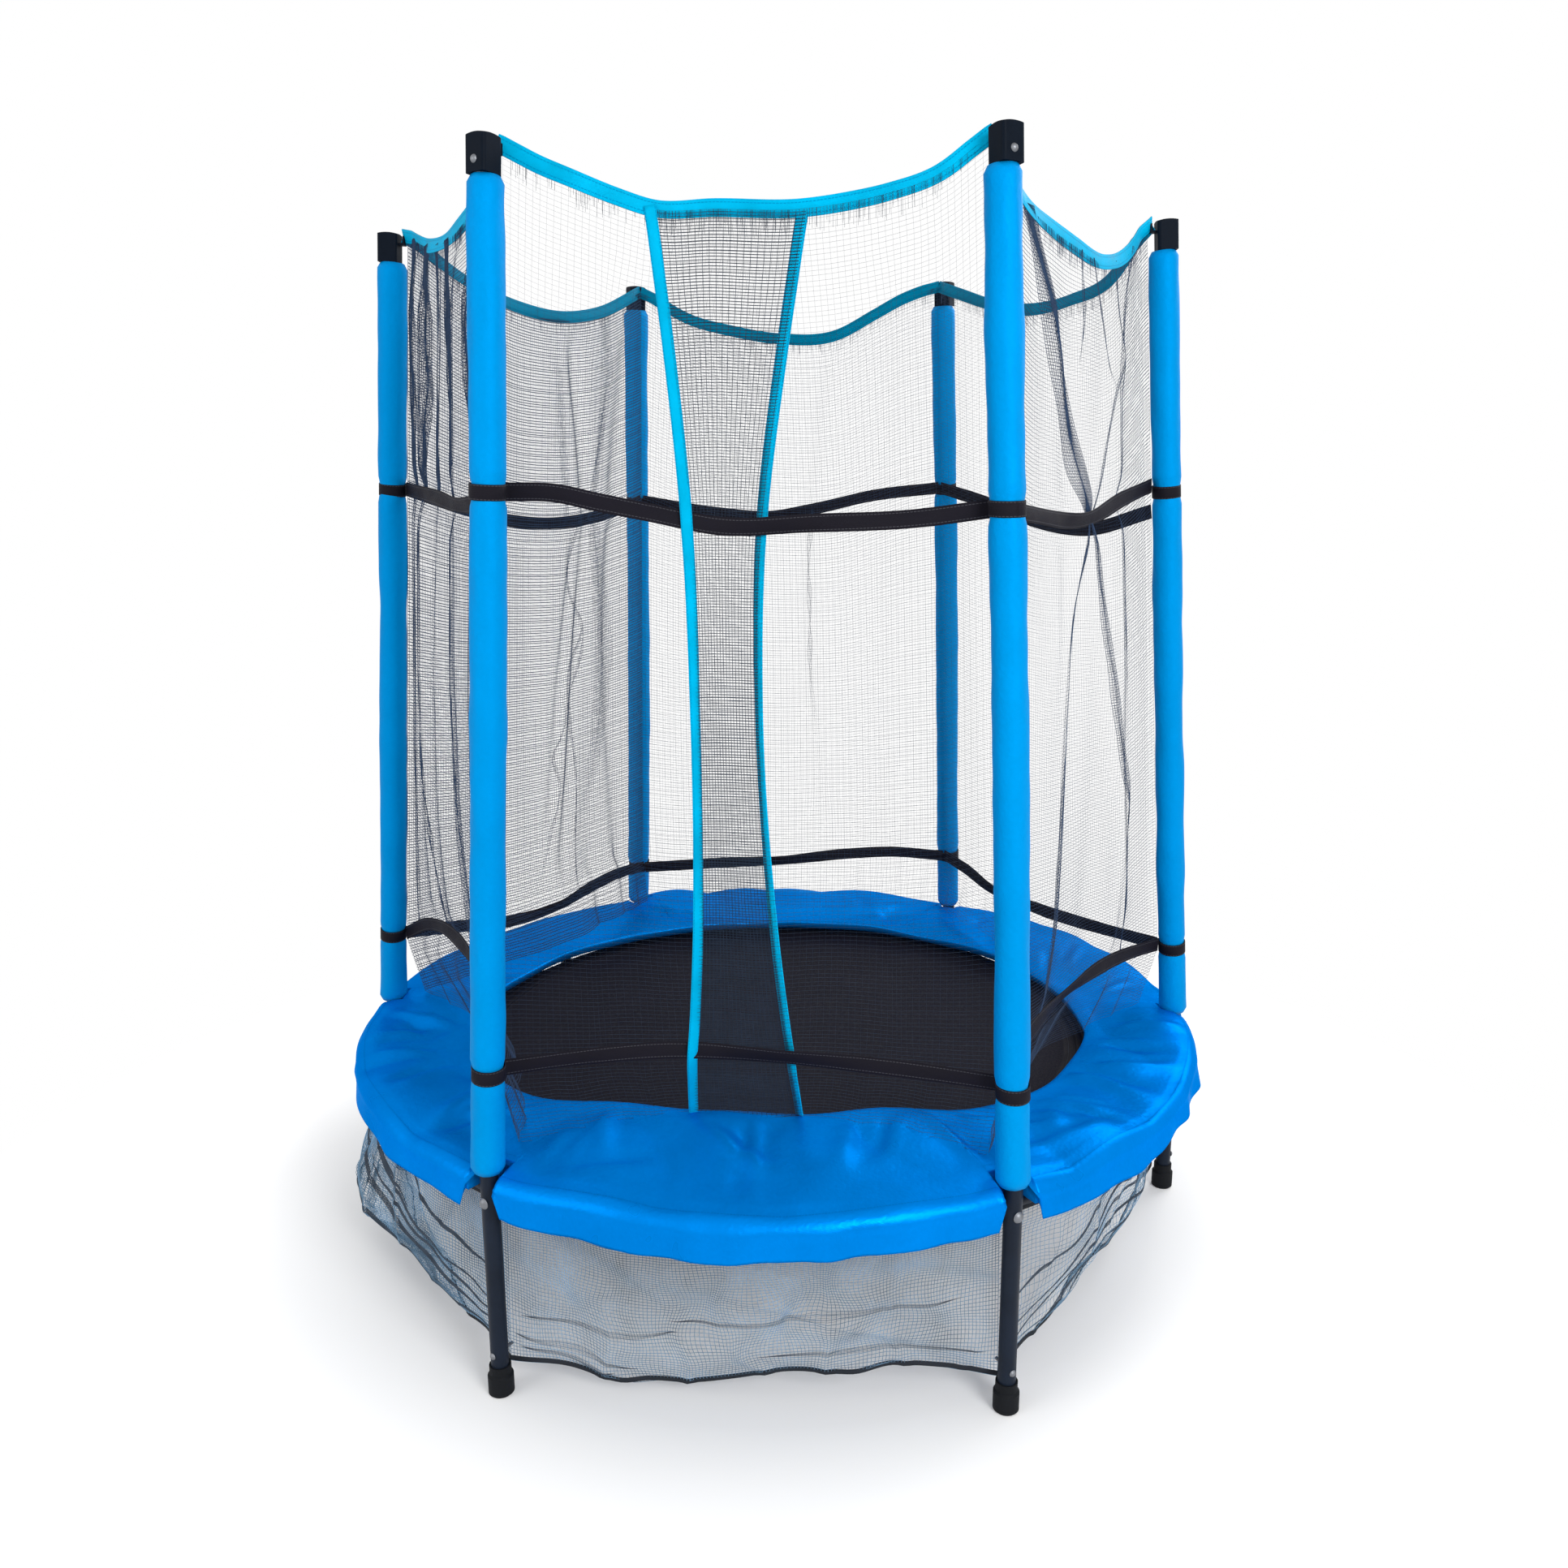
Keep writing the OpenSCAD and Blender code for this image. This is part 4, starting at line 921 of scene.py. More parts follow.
def make_foam_sleeves():
    share = np.linspace(0, 1, SLEEVE_RINGS)
    s = SLEEVE_START + SLEEVE_LENGTH * (share - 0.018 * np.sin(2 * math.pi * share) / (2 * math.pi))
    ends = np.minimum(s - SLEEVE_START, SLEEVE_START + SLEEVE_LENGTH - s)
    arc = np.maximum(SLEEVE_ROUND ** 2 - np.maximum(SLEEVE_ROUND - ends, 0) ** 2, 0)
    rounding = SLEEVE_ROUND - np.sqrt(arc)
    turn = np.linspace(0, 2 * math.pi, SLEEVE_SIDES, endpoint=False)
    around, along = np.meshgrid(turn, s)
    for i in range(SIDES):
        r = FOAM_R - rounding[:, None]
        r = r + 0.0007 * ripple(60 + i, along, 0.03 * np.cos(around), 0.22)
        r = r + 0.0004 * ripple(70 + i, along * 0.6, 0.05 * np.sin(around), 0.05)
        for loops in (UPPER_LOOPS, LOWER_LOOPS):
            r = r - BELT_DENT * np.exp(-(((along - up_pole(loops[i])) / (0.62 * STRAP_W)) ** 4))
        axis, radial, side = pole_axes(i)
        sway = 0.0015 * np.sin(5 * s + i)
        base = pole_point(i, 0.0) + s[:, None] * axis + sway[:, None] * side
        outer = base[:, None] + r[..., None] * spokes(around, radial, side)
        bore = SLEEVE_BORE * spokes(turn, radial, side)
        points = np.concatenate([outer, [base[-1] + bore], [base[0] + bore]])
        faces = grid_faces(len(points), SLEEVE_SIDES, True, True)
        piece = make_piece(f"foam_cover_{i + 1}", points, [faces], [foam_skin])
        placed(piece, "frame", "sleeve_foam", f"foam_sleeve_{i + 1}")


# Padded spring cover

PAD_IN = 0.516
PAD_IN_OVAL = 0.014
PAD_INNER_T = 0.018
PAD_EDGE_T = 0.033
PAD_CROWN = 0.009
PAD_COLUMNS = 720
# Radius halfway across, at which waves and creases are measured
PAD_MID = 0.62
SKIN = 0.0014
NOTCH_CLEAR = 0.002
NOTCH_HALF = FOAM_R + NOTCH_CLEAR
NOTCH_TURN = NOTCH_HALF / UPRIGHT_R
NOTCH_IN = UPRIGHT_R - FOAM_R - NOTCH_CLEAR
NOTCH_SLOPE = 0.010
# Where the inner edge stands up below the door: degrees round, spread, and how far in and up
FRONT_AT = 270
FRONT_SPREAD = 0.66
FRONT_IN = 0.015
FRONT_LIFT = 0.044
# Places across the top, close together where it rolls over into the skirt
ACROSS = np.concatenate([np.linspace(0, 0.92, 28), [0.94, 0.958, 0.974, 0.988, 1.0]])
SEAM_AT = 0.92
ROLL_AT = 0.90
ROLL = 0.012
SKIRT_ROWS = 10
# How far the skirt starts outside and below the edge, and its least depth, at a notch
SKIRT_STEP = 0.0012
SKIRT_LEAST = 0.010
# Places down the skirt, back up inside it, and in across the underside
DOWN = np.linspace(0, 1, SKIRT_ROWS + 1)[1:]
BACK_UP = np.linspace(1, 0, 5)
UNDER = np.linspace(1, 0, 7)
# First rows of the top, of the skirt and of the skirt's inside
TOP_FROM = 2
SKIRT_FROM = TOP_FROM + len(ACROSS)
INSIDE_FROM = SKIRT_FROM + SKIRT_ROWS
# Creases given one by one: start and end as degrees round and share of the width, half width, height
PAD_CREASES = [
    (269.5, 0.12, 269.0, 0.85, 0.016, -0.0034),
    (261.4, 0.20, 274.2, 0.65, 0.018, 0.0040),
    (258.0, 0.55, 247.0, 0.75, 0.015, -0.0028),
    (246.0, 0.15, 252.0, 0.62, 0.015, 0.0034),
    (285.0, 0.10, 281.0, 0.62, 0.015, 0.0030),
    (297.0, 0.05, 298.2, 0.78, 0.013, 0.0038),
    (303.0, 0.10, 312.0, 0.50, 0.013, 0.0034),
    (291.0, 0.10, 286.0, 0.50, 0.012, -0.0030),
    (304.0, 0.65, 318.0, 0.80, 0.014, 0.0030),
    (332.5, 0.00, 329.3, 0.80, 0.017, 0.0044),
    (336.0, 0.25, 339.5, 0.85, 0.015, 0.0036),
    (345.0, 0.20, 344.0, 0.80, 0.014, -0.0032),
    (352.3, 0.30, 351.0, 0.90, 0.012, 0.0038),
    (316.0, 0.15, 320.0, 0.85, 0.016, -0.0030),
    (185.7, 0.85, 194.1, 0.10, 0.015, 0.0044),
    (195.2, 0.45, 197.0, 0.92, 0.013, 0.0032),
    (202.0, 0.88, 203.0, 0.40, 0.013, 0.0036),
    (206.8, 0.28, 212.9, 0.80, 0.015, -0.0034),
    (222.0, 0.20, 226.0, 0.80, 0.015, 0.0036),
    (231.0, 0.15, 228.0, 0.70, 0.013, -0.0030),
]
SMALL_CREASES = 36
CREASE_GAIN = 2.0
# Cloth that loosens the cover, the frames it runs for, and how far it may move a point
PAD_CLOTH = {
    "quality": 5, "mass": 0.3, "tension_stiffness": 30, "compression_stiffness": 30, "shear_stiffness": 6,
    "bending_stiffness": 0.6, "vertex_group_mass": "pins", "pin_stiffness": 3, "shrink_min": -0.022,
    "use_pressure": True, "uniform_pressure_force": 1.6,
}
CLOTH_FRAMES = 20
CLOTH_CAP = 0.008


def pad_angles():
    """Angles round the pad, closer together at the notches' edges."""
    turn = np.linspace(0, 2 * math.pi, PAD_COLUMNS, endpoint=False)
    edges = (-0.0016, -0.0003, 0.0003, 0.005, 0.010, 0.0145)
    extra = [STEP * i + s * (NOTCH_TURN + d) for i in range(SIDES) for s in (-1, 1) for d in edges]
    return np.unique(np.round(np.concatenate([turn, np.mod(extra, 2 * math.pi)]), 6))


def from_turn(turn, degrees):
    """Signed angle from a direction, from -pi to pi."""
    return np.mod(turn - math.radians(degrees) + math.pi, 2 * math.pi) - math.pi


def pad_creases(turn, t):
    """Height of the creases in the cover's top."""
    random = np.random.default_rng(88)
    lines = list(PAD_CREASES)
    for _ in range(SMALL_CREASES):
        at = random.uniform(0, 360)
        reach = random.uniform(-8, 8)
        t0 = random.uniform(0.05, 0.5)
        t1 = t0 + random.uniform(0.2, 0.5)
        lines.append((at, t0, at + reach, t1, random.uniform(0.009, 0.016), random.uniform(-0.0022, 0.0026)))
    width = PAD_OUT - PAD_IN
    total = np.zeros(np.broadcast(turn, t).shape)
    for start, t0, end, t1, half, height in lines:
        x = from_turn(turn, start) * PAD_MID
        y = (t - t0) * width
        dx = math.radians(end - start) * PAD_MID
        dy = (t1 - t0) * width
        long = math.hypot(dx, dy)
        along = (x * dx + y * dy) / long
        beside = (x * dy - y * dx) / long
        fade = smooth(along, -0.02, 0.35 * long) * (1 - smooth(along, 0.6 * long, long + 0.03))
        ridge = np.exp(-((beside / half) ** 2)) - 0.45 * np.exp(-(((beside - 1.7 * half) / half) ** 2))
        total = total + CREASE_GAIN * height * fade * ridge
    return total


def settled(points, faces, pins):
    """Points after a short cloth simulation under a little pressure, moved no further than the cap."""
    mesh = bpy.data.meshes.new("settling")
    mesh.from_pydata(points.reshape(-1, 3).tolist(), [], faces.tolist())
    piece = bpy.data.objects.new("settling", mesh)
    scene = bpy.context.scene
    scene.collection.objects.link(piece)
    group = piece.vertex_groups.new(name="pins")
    for weight in np.unique(pins[pins > 0]):
        group.add(np.flatnonzero(pins.ravel() == weight).tolist(), float(weight), "REPLACE")
    cloth = piece.modifiers.new("cloth", "CLOTH")
    for name, value in PAD_CLOTH.items():
        setattr(cloth.settings, name, value)
    cloth.settings.effector_weights.gravity = 0
    cloth.collision_settings.use_collision = False
    for number in range(1, CLOTH_FRAMES + 1):
        scene.frame_set(number)
    solved = piece.evaluated_get(bpy.context.evaluated_depsgraph_get()).to_mesh()
    flat = np.zeros(len(solved.vertices) * 3, np.float32)
    solved.vertices.foreach_get("co", flat)
    moved = flat.reshape(points.shape) - points
    far = np.linalg.norm(moved, axis=-1, keepdims=True)
    bpy.data.objects.remove(piece)
    scene.frame_set(1)
    return points + moved * np.minimum(1.0, CLOTH_CAP / np.maximum(far, 1e-9))


def pad_wave(seed, turn, height, size=0.3):
    """Waves round the cover, of a height and a size."""
    return height * ripple(seed, np.cos(turn) * PAD_MID, np.sin(turn) * PAD_MID, size)


def pad_shape(turn, near):
    """Rows of the smooth cover, with how far across each angle's top reaches and how whole its skirt is."""
    open_edge = smooth(near, NOTCH_TURN - 0.0003, NOTCH_TURN + 0.0003)
    front = np.exp(-((from_turn(turn, FRONT_AT) / FRONT_SPREAD) ** 4))
    inner = PAD_IN + PAD_IN_OVAL * np.cos(2 * turn) - FRONT_IN * front + pad_wave(80, turn, 0.0018)
    inner = inner + 0.010 * np.exp(-np.abs(from_turn(turn, 352) / 0.14) ** 1.5)
    rim = PAD_OUT + pad_wave(91, turn, 0.0015)
    outer = NOTCH_IN + (rim - NOTCH_IN) * open_edge
    fold_z = PAD_LOW + PAD_EDGE_T + pad_wave(81, turn, 0.0028)
    lift = PAD_LOW + PAD_INNER_T + pad_wave(82, turn, 0.0018) + FRONT_LIFT * front
    cut = np.clip((near - NOTCH_TURN) / (NOTCH_SLOPE / UPRIGHT_R), 0.0, 1.0)
    reach = (outer - inner) / (rim - inner)

    def top_z(at):
        over = np.clip((at - ROLL_AT) / (1 - ROLL_AT), 0, 1)
        crown = PAD_CROWN * 4 * at * (1 - at)
        return lift + (fold_z - lift) * at + crown - ROLL * (1 - np.sqrt(1 - (0.95 * over) ** 2))

    edge_z = top_z(reach)
    drop = SKIRT_LEAST + (edge_z - SKIRT_LOW - SKIRT_LEAST) * (1 + pad_wave(83, turn, 0.03, 0.5)) * cut
    flare = SKIRT_FLARE + pad_wave(84, turn, 0.003, 0.2)
    rows = [circle(turn, inner + 0.0005, lift - 0.007), circle(turn, inner - 0.0015, lift - 0.003)]
    for t in ACROSS:
        rows.append(circle(turn, inner + (rim - inner) * t * reach, top_z(t * reach)))
    for v in DOWN:
        spread = flare * v + 0.0014 * math.sin(math.pi * min(1.0, 3 * v))
        rows.append(circle(turn, outer + (SKIRT_STEP + spread) * open_edge, edge_z - SKIRT_STEP - drop * v))
    hem_r = np.linalg.norm(rows[-1][:, :2], axis=1)
    hem_low = rows[-1][:, 2]
    for v in BACK_UP:
        z = hem_low + (np.maximum(PAD_LOW + 0.004, hem_low) - hem_low) * (1 - v)
        rows.append(circle(turn, hem_r + (outer - hem_r) * (1 - v) - SKIN, z))
    for t in UNDER:
        z = PAD_LOW + 0.001 + np.maximum(lift - 0.016 - PAD_LOW - 0.001, 0) * (1 - t) ** 3
        rows.append(circle(turn, inner + 0.004 + (outer - SKIN - 0.004 - inner) * t, z))
    return np.stack(rows), reach, cut


def crumple(points, turn, reach, cut):
    """Adds waves and creases to the cover's top, and sway to its skirt."""
    t = ACROSS[:, None] * reach[None]
    top = points[TOP_FROM:SKIRT_FROM]
    free = smooth(t, 0.0, 0.20) * (1 - 0.4 * smooth(t, 0.92, 1.0))
    wave = 0.0080 * (facets(85, top[..., 0], top[..., 1], 0.36) - 0.75)
    wave = wave + 0.0016 * (facets(86, top[..., 0], top[..., 1], 0.20) - 0.75)
    wave = wave - 0.0016 * np.exp(-(((t - SEAM_AT) / 0.018) ** 2))
    rise = free * (wave + pad_creases(turn[None], t))
    top[..., 2] += rise
    sway = pad_wave(90, turn, 0.0028, 0.12) + pad_wave(92, turn, 0.0012, 0.05)
    for first, shares in ((SKIRT_FROM, DOWN), (INSIDE_FROM, BACK_UP)):
        for number, v in enumerate(shares):
            points[first + number, :, :2] *= (1 + sway * v * cut / PAD_OUT)[:, None]
    for number, v in enumerate(DOWN):
        points[SKIRT_FROM + number, :, 2] += rise[-1] * (1 - v)


def make_pad():
    turn = pad_angles()
    near = np.abs(np.mod(turn + STEP / 2, STEP) - STEP / 2)
    points, reach, cut = pad_shape(turn, near)
    faces = grid_faces(len(points), len(turn), True, True)
    pins = np.ones(points.shape[:2])
    pins[TOP_FROM + 1:SKIRT_FROM - 1] = 0.0
    pins[SKIRT_FROM - 1] = 0.6
    pins[SKIRT_FROM + 1:INSIDE_FROM] = 0.25
    pins[SKIRT_FROM - 6:INSIDE_FROM, near < NOTCH_TURN + 0.006] = 1.0
    points = settled(points, faces, pins)
    crumple(points, turn, reach, cut)
    steps = np.linalg.norm(np.diff(points, axis=0, append=points[:1]), axis=-1).mean(1)
    uv = np.zeros(points.shape[:2] + (2,))
    uv[..., 0] = turn * PAD_OUT
    uv[..., 1] = (np.cumsum(steps) - steps[:SKIRT_FROM - 1].sum() - steps[0])[:, None]
    piece = make_piece("pad_soft", points, [faces], [pad_vinyl], uv)
    placed(piece, "frame", "pad_vinyl", "pad_cover", "pad_foam")


# Jumping mat with its border, tabs and springs

MAT_SIDES = 180
MAT_T = 0.0022
MAT_SAG = 0.0022
# The folded border: its width, its step above the mat, and its seams as distances from its inner edge
BORDER_W = 0.045
BORDER_STEP = 0.0014
BORDER_SEAMS = (0.010, 0.022, 0.034)


def make_mat():
    inside = MAT_R - BORDER_W
    profile = [(r, 0.0) for r in (0.01, 0.08, 0.16, 0.24, 0.32, 0.40, 0.47, inside - 0.001)]
    plain = len(profile)
    profile += [(inside, 0.0012), (inside + 0.003, BORDER_STEP)]
    for seam in BORDER_SEAMS:
        at = inside + seam
        profile += [(at - 0.001, BORDER_STEP), (at, 0.0007), (at + 0.001, BORDER_STEP)]
    profile += [(MAT_R - 0.001, BORDER_STEP), (MAT_R, 0.0004)]
    turn = np.linspace(0, 2 * math.pi, MAT_SIDES, endpoint=False)
    rows = []
    for face in (1, -1):
        for r, step in profile[::face]:
            sag = -MAT_SAG * (1 - (r / MAT_R) ** 2)
            wave = 0.0005 * ripple(95, np.cos(turn) * r, np.sin(turn) * r, 0.2)
            rows.append(circle(turn, r, MAT_Z + sag + face * (MAT_T / 2 + step) + wave))
    points = np.stack(rows)
    faces = grid_faces(len(rows), MAT_SIDES, False, True)
    ring = np.repeat(np.arange(len(rows) - 1), MAT_SIDES)
    count = len(profile)
    on_border = np.where(ring < count, ring >= plain, ring < 2 * count - 1 - plain)
    middles = np.array([np.arange(MAT_SIDES)[::-1], np.arange(MAT_SIDES) + (len(rows) - 1) * MAT_SIDES])
    on_border = np.concatenate([on_border, [0, 0]])
    uv = np.zeros((len(rows), MAT_SIDES, 2))
    uv[..., 0] = turn * MAT_R
    uv[..., 1] = np.linalg.norm(points[..., :2], axis=-1) - (MAT_R - BORDER_W / 2)
    piece = make_piece("mat_cloth", points, [faces, middles], [mat_weave, border_web], uv, on_border)
    placed(piece, "mat", "mat_fabric", "jump_mat")


SPRINGS = 36
# Distances from the middle of the bar in a tab, the bar in a hook and the coils' ends, then thicknesses
BAR_R = MAT_R + 0.005
HOOK_R = MAT_R + 0.0227
COIL_IN = HOOK_R + 0.0049
COIL_OUT = RING_R - 0.0205
WIRE = 0.0028
COIL_D = 0.013
COIL_TURNS = 23
TURN_POINTS = 13
NECK_R = 0.0010
HOOK_BEND = 0.0044
# The hook at the ring: distances beyond the coils and heights
TAIL_X = np.array([0.004, 0.010, 0.0145, 0.0165, 0.0168])
TAIL_Z = np.array([0.0, 0.0, 0.0003, 0.0022, 0.0045])
TAB_W = 0.016
TAB_T = 0.0013
TAB_LOOP = 0.0018 + 0.0008
TAB_LOW = -0.0032


def spring_axes(n):
    return axes_at(2 * math.pi / SPRINGS * (n + 0.5))


def make_tabs():
    shape = Shape()
    turn = np.radians(np.linspace(200, -160, 15))
    x = np.concatenate([BAR_R + TAB_LOOP * np.cos(turn), [BAR_R - 0.012, BAR_R - 0.024, BAR_R - 0.038]])
    z = np.concatenate([TAB_LOOP * np.sin(turn), [TAB_LOW, TAB_LOW - 0.0003, TAB_LOW]])
    for n in range(SPRINGS):
        out, along = spring_axes(n)
        path = x[:, None] * out + (MAT_Z + z)[:, None] * UP
        tangent = unit(np.gradient(path, axis=0))
        across = np.repeat(along[None], len(path), 0)
        ribbon(shape, path, across, np.cross(tangent, across), TAB_W, TAB_T)
    placed(shape.piece("mat_tab_webbing", tab_web), "mat", "webbing", "mat_tabs")


def tube(path, radius, sides=7):
    """Points and faces of a round wire along a path, with closed ends."""
    along = unit(np.gradient(path, axis=0))
    normal = unit(np.cross(along[0], UP + 0.3 * along[0][::-1]))
    normals = [normal]
    for t in along[1:]:
        normal = unit(normal - t * (normal @ t))
        normals.append(normal)
    normals = np.array(normals)
    sideways = np.cross(along, normals)
    turn = np.linspace(0, 2 * math.pi, sides, endpoint=False)
    points = path[:, None] + radius * spokes(turn, normals[:, None], sideways[:, None])
    caps = [np.arange(sides)[None, ::-1], np.arange(sides)[None] + (len(path) - 1) * sides]
    return points, [grid_faces(len(path), sides, False, True)] + caps


def make_springs():
    share = np.linspace(0, 1, COIL_TURNS * TURN_POINTS)
    spin = 2 * math.pi * COIL_TURNS * share
    neck = np.minimum(smooth(share, 0, 0.06), 1 - smooth(share, 0.94, 1.0))
    r = NECK_R + (COIL_D / 2 - WIRE / 2 - NECK_R) * neck
    x = COIL_IN + (COIL_OUT - COIL_IN) * share
    bend = np.radians(np.linspace(-290, 0, 22))
    for n in range(SPRINGS):
        out, along = spring_axes(n)
        coil = x[:, None] * out + (r * np.cos(spin))[:, None] * along + (r * np.sin(spin))[:, None] * UP
        hook = (HOOK_R + HOOK_BEND * np.cos(bend))[:, None] * out + (HOOK_BEND * np.sin(bend))[:, None] * UP
        tail = (COIL_OUT + TAIL_X)[:, None] * out + TAIL_Z[:, None] * UP
        path = np.concatenate([hook, coil[2:], tail]) + MAT_Z * UP
        points, faces = tube(path, WIRE / 2)
        piece = make_piece(f"spring_{n + 1}", points, faces, [zinc])
        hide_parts("springs")
        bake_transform(piece)


# Lower net between the legs

LOWER_CORNER = UPRIGHT_R - 0.0207
# For each side: bulge, share of the yarns, thickness of yarns and folds, lean of the bulge, bow of the hem
LOWER_BULGE = [0.030, 0.022, 0.040, 0.070, 0.020, 0.018]
LOWER_FULLNESS = [1.0, 1.0, 1.0, 1.0, 1.0, 0.58]
LOWER_STOUT = [1.0, 1.0, 1.0, 1.22, 1.0, 0.76]
FOLD_STOUT = [1.0, 1.0, 1.0, 2.0, 0.7, 1.3]
LOWER_SKEW = [0.0, 0.1, -0.2, -0.75, 0.1, 0.0]
LOWER_BOW = [0.020, 0.015, 0.020, 0.030, 0.012, 0.004]
LOWER_ROW = 0.0043
LOWER_COLUMN = 0.0047
LOWER_YARN = 0.00071
FOLD_YARN = LOWER_YARN * 0.7
FOLD_OFF = 0.0008
# Area declared for the sheet of a side, as a share of its rectangle, and the power of its fullness that
# lowers it. Both are chosen in the way of SHEET_SHARES
# Bands along the bottom and the top: place up the net and width
LOWER_HEMS = ((0.02, 0.007), (0.985, 0.010))
LOWER_HEM_T = 0.0018
LOWER_HEM_OFF = 0.0006
# Folds in the lower net of a side: start and end as places along it and up it, and half width
LOWER_FOLDS = {
    2: [(-0.6, 0.8, 0.7, 0.3, 0.002), (-0.3, 0.4, 0.9, 0.1, 0.002)],
    3: [(-0.95, 0.75, 0.95, 0.12, 0.003), (-0.8, 0.92, 0.9, 0.30, 0.002), (-0.9, 0.40, 0.9, 0.05, 0.003),
        (-0.5, 0.85, 0.3, 0.55, 0.002), (-0.7, 0.22, 0.6, 0.08, 0.003), (-0.2, 0.60, 0.95, 0.20, 0.002),
        (0.1, 0.90, 0.95, 0.45, 0.002)],
    4: [(-0.30, 0.46, 0.85, 0.50, 0.0030), (-0.95, 0.30, -0.25, 0.40, 0.0025),
        (0.05, 0.20, 0.95, 0.17, 0.0030), (-0.98, 0.20, -0.45, 0.10, 0.003),
        (-0.96, 0.12, -0.55, 0.06, 0.003)],
    5: [(-0.95, 0.12, 0.80, 0.95, 0.002), (-0.92, 0.22, 0.50, 0.92, 0.002), (-0.80, 0.10, 0.95, 0.72, 0.003),
        (-0.95, 0.40, 0.10, 0.93, 0.002), (-0.60, 0.08, 0.95, 0.45, 0.002)],
}
# Rise of the hem below the door: places along the side and heights
FRONT_HEM = (
    [-1.0, -0.72, -0.52, -0.24, -0.07, 0.10, 0.30, 0.57, 0.78, 1.0],
    [0.0, -0.005, -0.018, -0.014, -0.007, 0.004, 0.011, 0.020, 0.016, 0.0],
)


def lower_hem_z(side, s):
    s = np.asarray(s, float)
    wavy = 0.008 * ripple(100 + side, s, 0 * s, 0.9, 4) * (1 - s ** 2)
    if side == DOOR_SIDE:
        wavy = curve_through(*FRONT_HEM, s)
    return HEM_LOW + 0.010 + wavy


def lower_point(side, s, f, off=0.0):
    """A point of the lower net: s from -1 to 1 along the side, f from its hem at 0 to the ring at 1."""
    s, f = np.broadcast_arrays(np.asarray(s, float), np.asarray(f, float))
    out, along = side_axes(side)
    half = STEP / 2
    low = lower_hem_z(side, s)
    z = low + f * (LOWER_TOP - low)
    bow = LOWER_BOW[side] * (1 - f) + 6.75 * LOWER_BULGE[side] * f * (1 - f) ** 2
    slack = 4 * f * (1 - f)
    z = z + 0.0050 * slack * ripple(140 + side, 0.16 * s, 0.22 * f, 0.075)
    lift = 0.004 * np.sin(9 * s + 2.5 * f + side) + 0.004 * ripple(110 + side, s, f * 0.7, 0.45)
    lift = lift + 0.007 * crease(120 + side, s * 0.6, f * 0.9, 1.1)
    lift = lift + 0.004 * crease(130 + side, s, f * 0.35, 0.6)
    x = f * RING_R * np.cos(half * s) + (1 - f) * LOWER_CORNER * math.cos(half)
    y = f * RING_R * np.sin(half * s) + (1 - f) * LOWER_CORNER * math.sin(half) * s
    calm = 1 - s ** 4
    y = y + 0.0060 * calm * slack * ripple(150 + side, 0.35 * s, 0.22 * f, 0.10)
    x = x + bow * (1 - s * s) * (1 + LOWER_SKEW[side] * s) + lift * calm * (1 - f ** 6) + off
    return x[..., None] * out + y[..., None] * along + z[..., None] * UP


def make_lower_net():
    hem = Shape()
    width = 2 * LOWER_CORNER * math.sin(STEP / 2)
    height = LOWER_TOP - HEM_LOW
    t = np.linspace(0, 1, 60)[None]
    belly = np.sin(math.pi * t)
    for side in range(SIDES):
        out, _ = side_axes(side)
        shape = Shape()
        full = LOWER_FULLNESS[side]
        thick = LOWER_YARN * LOWER_STOUT[side]
        share = np.linspace(0, 1, int(height / LOWER_ROW * full))
        s, f = np.meshgrid(np.linspace(-1, 1, 70), share + 0.5 * share * (1 - share))
        threads(shape, lower_point(side, s, f), out, thick)
        columns = int(width / LOWER_COLUMN * full)
        f, s = np.meshgrid(np.linspace(0, 1, 30), np.linspace(-1, 1, columns))
        threads(shape, lower_point(side, s, f), out, thick)
        for s0, f0, s1, f1, half in LOWER_FOLDS.get(side, []):
            beside = np.linspace(-1.7, 1.7, 6)[:, None] * half * belly
            sway = 0.012 * np.sin(7 * t + 9 * s0) * belly
            s = s0 + (s1 - s0) * t
            f = f0 + (f1 - f0) * t + sway + beside / height
            # Yarns of a fold take the darker fold material: painted shade.
            threads(shape, lower_point(side, s, f, FOLD_OFF), out, FOLD_YARN * FOLD_STOUT[side], slot=1)
        piece = shape.piece(f"lower_net_{side + 1}", lower_yarn, fold_shade_yarn)
        placed(piece, "frame", "lower_mesh", "lower_net")
        for f_at, wide in LOWER_HEMS:
            path = lower_point(side, np.linspace(-1, 1, 90), f_at, LOWER_HEM_OFF)
            band(hem, path, out[None], wide, LOWER_HEM_T)
    placed(hem.piece("lower_net_hem", net_binding), "frame", "lower_mesh", "lower_hem")


# Finishes of the carried-over solids

FINISHES = {
    "ring_tube": frame_paint, "leg": frame_paint, "pole": pole_zinc, "pole_cap": cap_plastic,
    "saddle_spacers": cap_plastic, "rubber_feet": rubber, "mat_rings": zinc, "frame_bolts": bolt_zinc,
    "frame_nuts": bolt_zinc, "cap_screws": bolt_zinc, "net_screws": bolt_zinc,
}


def finish_solids():
    for name, node in NODES.items():
        stem = name.rsplit("_", 1)[0] if name[-1].isdigit() else name
        if stem in FINISHES:
            node.data.materials.clear()
            node.data.materials.append(FINISHES[stem])


# Floor, light and camera

CAMERA_AT = (0.1375, -2.1408, 1.2068)
CAMERA_YAW = math.radians(3.26)
CAMERA_PITCH = math.radians(12.26)
CAMERA_ROLL = math.radians(-0.28)
FOCAL_PIXELS = 1566
PHOTO_PIXELS = 1932
SENSOR = 36
FLOOR_R = 60.0
FLOOR_SIDES = 96
FLOOR_Z = -0.0005
WHITE = (1, 1, 1, 1)
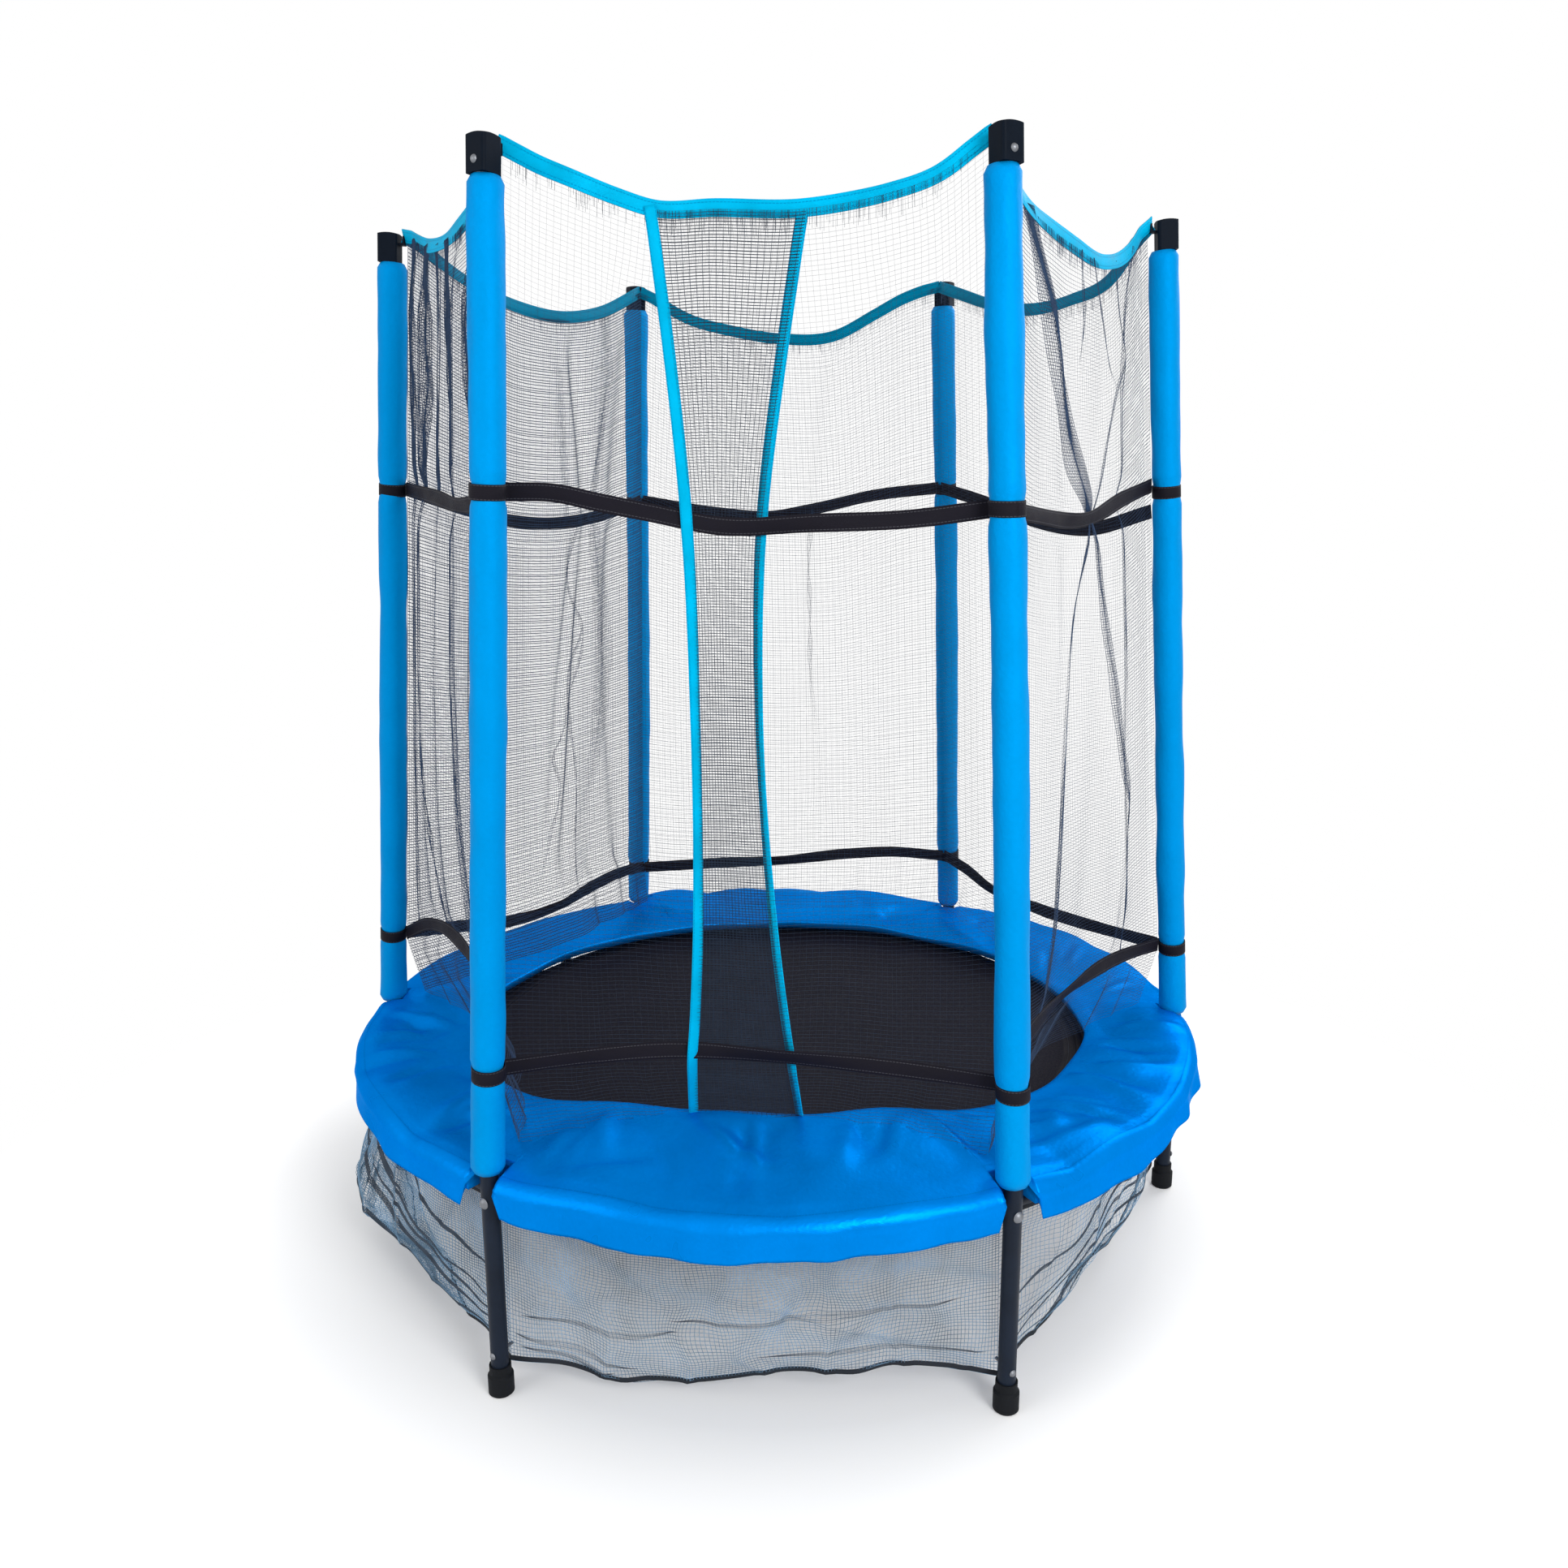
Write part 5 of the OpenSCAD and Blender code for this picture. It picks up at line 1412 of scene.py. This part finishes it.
# Glow of the floor where it is seen: under the part, beside it, and the radii at which it changes. The weaker
# glow under the part is a painted shadow.
PAINTED_SHADOW_GLOW = 0.16
FLOOR_NEAR = 0.50
UNDER_TO = 0.66
NEAR_FROM = 1.0
WHITE_FROM = 1.5
# Strength of the room's light, and what is added to it where the room is seen
ROOM_LIGHT = 0.58
ROOM_SEEN = 0.42


def seen_directly(tree):
    """1 for rays that reach the picture straight, by a mirror or through glass."""
    path = add_node(tree, "ShaderNodeLightPath")
    total = math_node(tree, "MAXIMUM", path.outputs["Is Camera Ray"], path.outputs["Is Glossy Ray"])
    return math_node(tree, "MAXIMUM", total, path.outputs["Is Transmission Ray"])


def make_floor():
    material = bpy.data.materials.new("floor_white")
    material.use_nodes = True
    tree = material.node_tree
    tree.nodes.clear()
    paint = add_node(tree, "ShaderNodeBsdfDiffuse", {"Color": (0.82, 0.82, 0.82, 1.0)})
    away = add_node(tree, "ShaderNodeVectorMath", {0: coordinates(tree)}, operation="LENGTH").outputs["Value"]
    # The glow is weaker under the part: a painted shadow, which fades out between UNDER_TO and NEAR_FROM.
    change = {0: away, 1: UNDER_TO, 2: NEAR_FROM, 3: PAINTED_SHADOW_GLOW, 4: FLOOR_NEAR}
    near = add_node(tree, "ShaderNodeMapRange", change).outputs[0]
    far = add_node(tree, "ShaderNodeMapRange", {0: away, 1: NEAR_FROM, 2: WHITE_FROM}).outputs[0]
    glow = add_node(tree, "ShaderNodeEmission", {"Color": WHITE, "Strength": near})
    white = add_node(tree, "ShaderNodeEmission", {"Color": WHITE, "Strength": 1.0})
    both = add_node(tree, "ShaderNodeAddShader", {0: paint.outputs[0], 1: glow.outputs[0]})
    shown = add_node(tree, "ShaderNodeMixShader", {0: far, 1: both.outputs[0], 2: white.outputs[0]})
    choice = {0: seen_directly(tree), 1: paint.outputs[0], 2: shown.outputs[0]}
    pick = add_node(tree, "ShaderNodeMixShader", choice)
    add_node(tree, "ShaderNodeOutputMaterial", {"Surface": pick.outputs[0]})
    turn = np.linspace(0, 2 * math.pi, FLOOR_SIDES, endpoint=False)
    floor = make_piece("floor", circle(turn, FLOOR_R, FLOOR_Z), [np.arange(FLOOR_SIDES)[None]], [material])


def make_world():
    world = bpy.data.worlds.new("white_room")
    bpy.context.scene.world = world
    world.use_nodes = True
    tree = world.node_tree
    back = tree.nodes["Background"]
    strength = math_node(tree, "MULTIPLY_ADD", seen_directly(tree), ROOM_SEEN)
    strength.node.inputs[2].default_value = ROOM_LIGHT
    back.inputs["Color"].default_value = WHITE
    tree.links.new(strength, back.inputs["Strength"])


def area_light(name, place, aim, size, power):
    lamp = bpy.data.lights.new(name, "AREA")
    lamp.shape = "DISK"
    lamp.size = size
    lamp.energy = power
    thing = bpy.data.objects.new(name, lamp)
    thing.location = place
    thing.rotation_euler = (Vector(aim) - Vector(place)).to_track_quat("-Z", "Y").to_euler()
    bpy.context.scene.collection.objects.link(thing)


def make_camera():
    data = bpy.data.cameras.new("camera")
    data.sensor_width = SENSOR
    data.lens = SENSOR * FOCAL_PIXELS / PHOTO_PIXELS
    camera = bpy.data.objects.new("camera", data)
    turn = Matrix.Rotation(CAMERA_YAW, 4, "Z") @ Matrix.Rotation(math.pi / 2 - CAMERA_PITCH, 4, "X")
    camera.matrix_world = Matrix.Translation(CAMERA_AT) @ turn @ Matrix.Rotation(CAMERA_ROLL, 4, "Z")
    bpy.context.scene.collection.objects.link(camera)
    bpy.context.scene.camera = camera


make_camera()
make_floor()
make_world()
area_light("key", (2.0, -3.4, 2.3), (0, 0, 0.7), 1.7, 93)
area_light("fill", (-2.8, -2.4, 1.9), (0, 0, 0.8), 2.6, 34)
area_light("rim", (2.3, 2.1, 2.9), (0, 0, 0.7), 2.4, 60)
finish_solids()
make_foam_sleeves()
make_pad()
make_mat()
make_tabs()
make_springs()
make_nets()
make_top_hem()
make_door_tapes()
make_strap("upper_strap_web", "upper_strap", UPPER_LOOPS, UPPER_CURVES)
make_strap("lower_strap_web", "lower_strap", LOWER_LOOPS, LOWER_CURVES)
make_lower_net()
bpy.context.scene.view_settings.view_transform = "Standard"
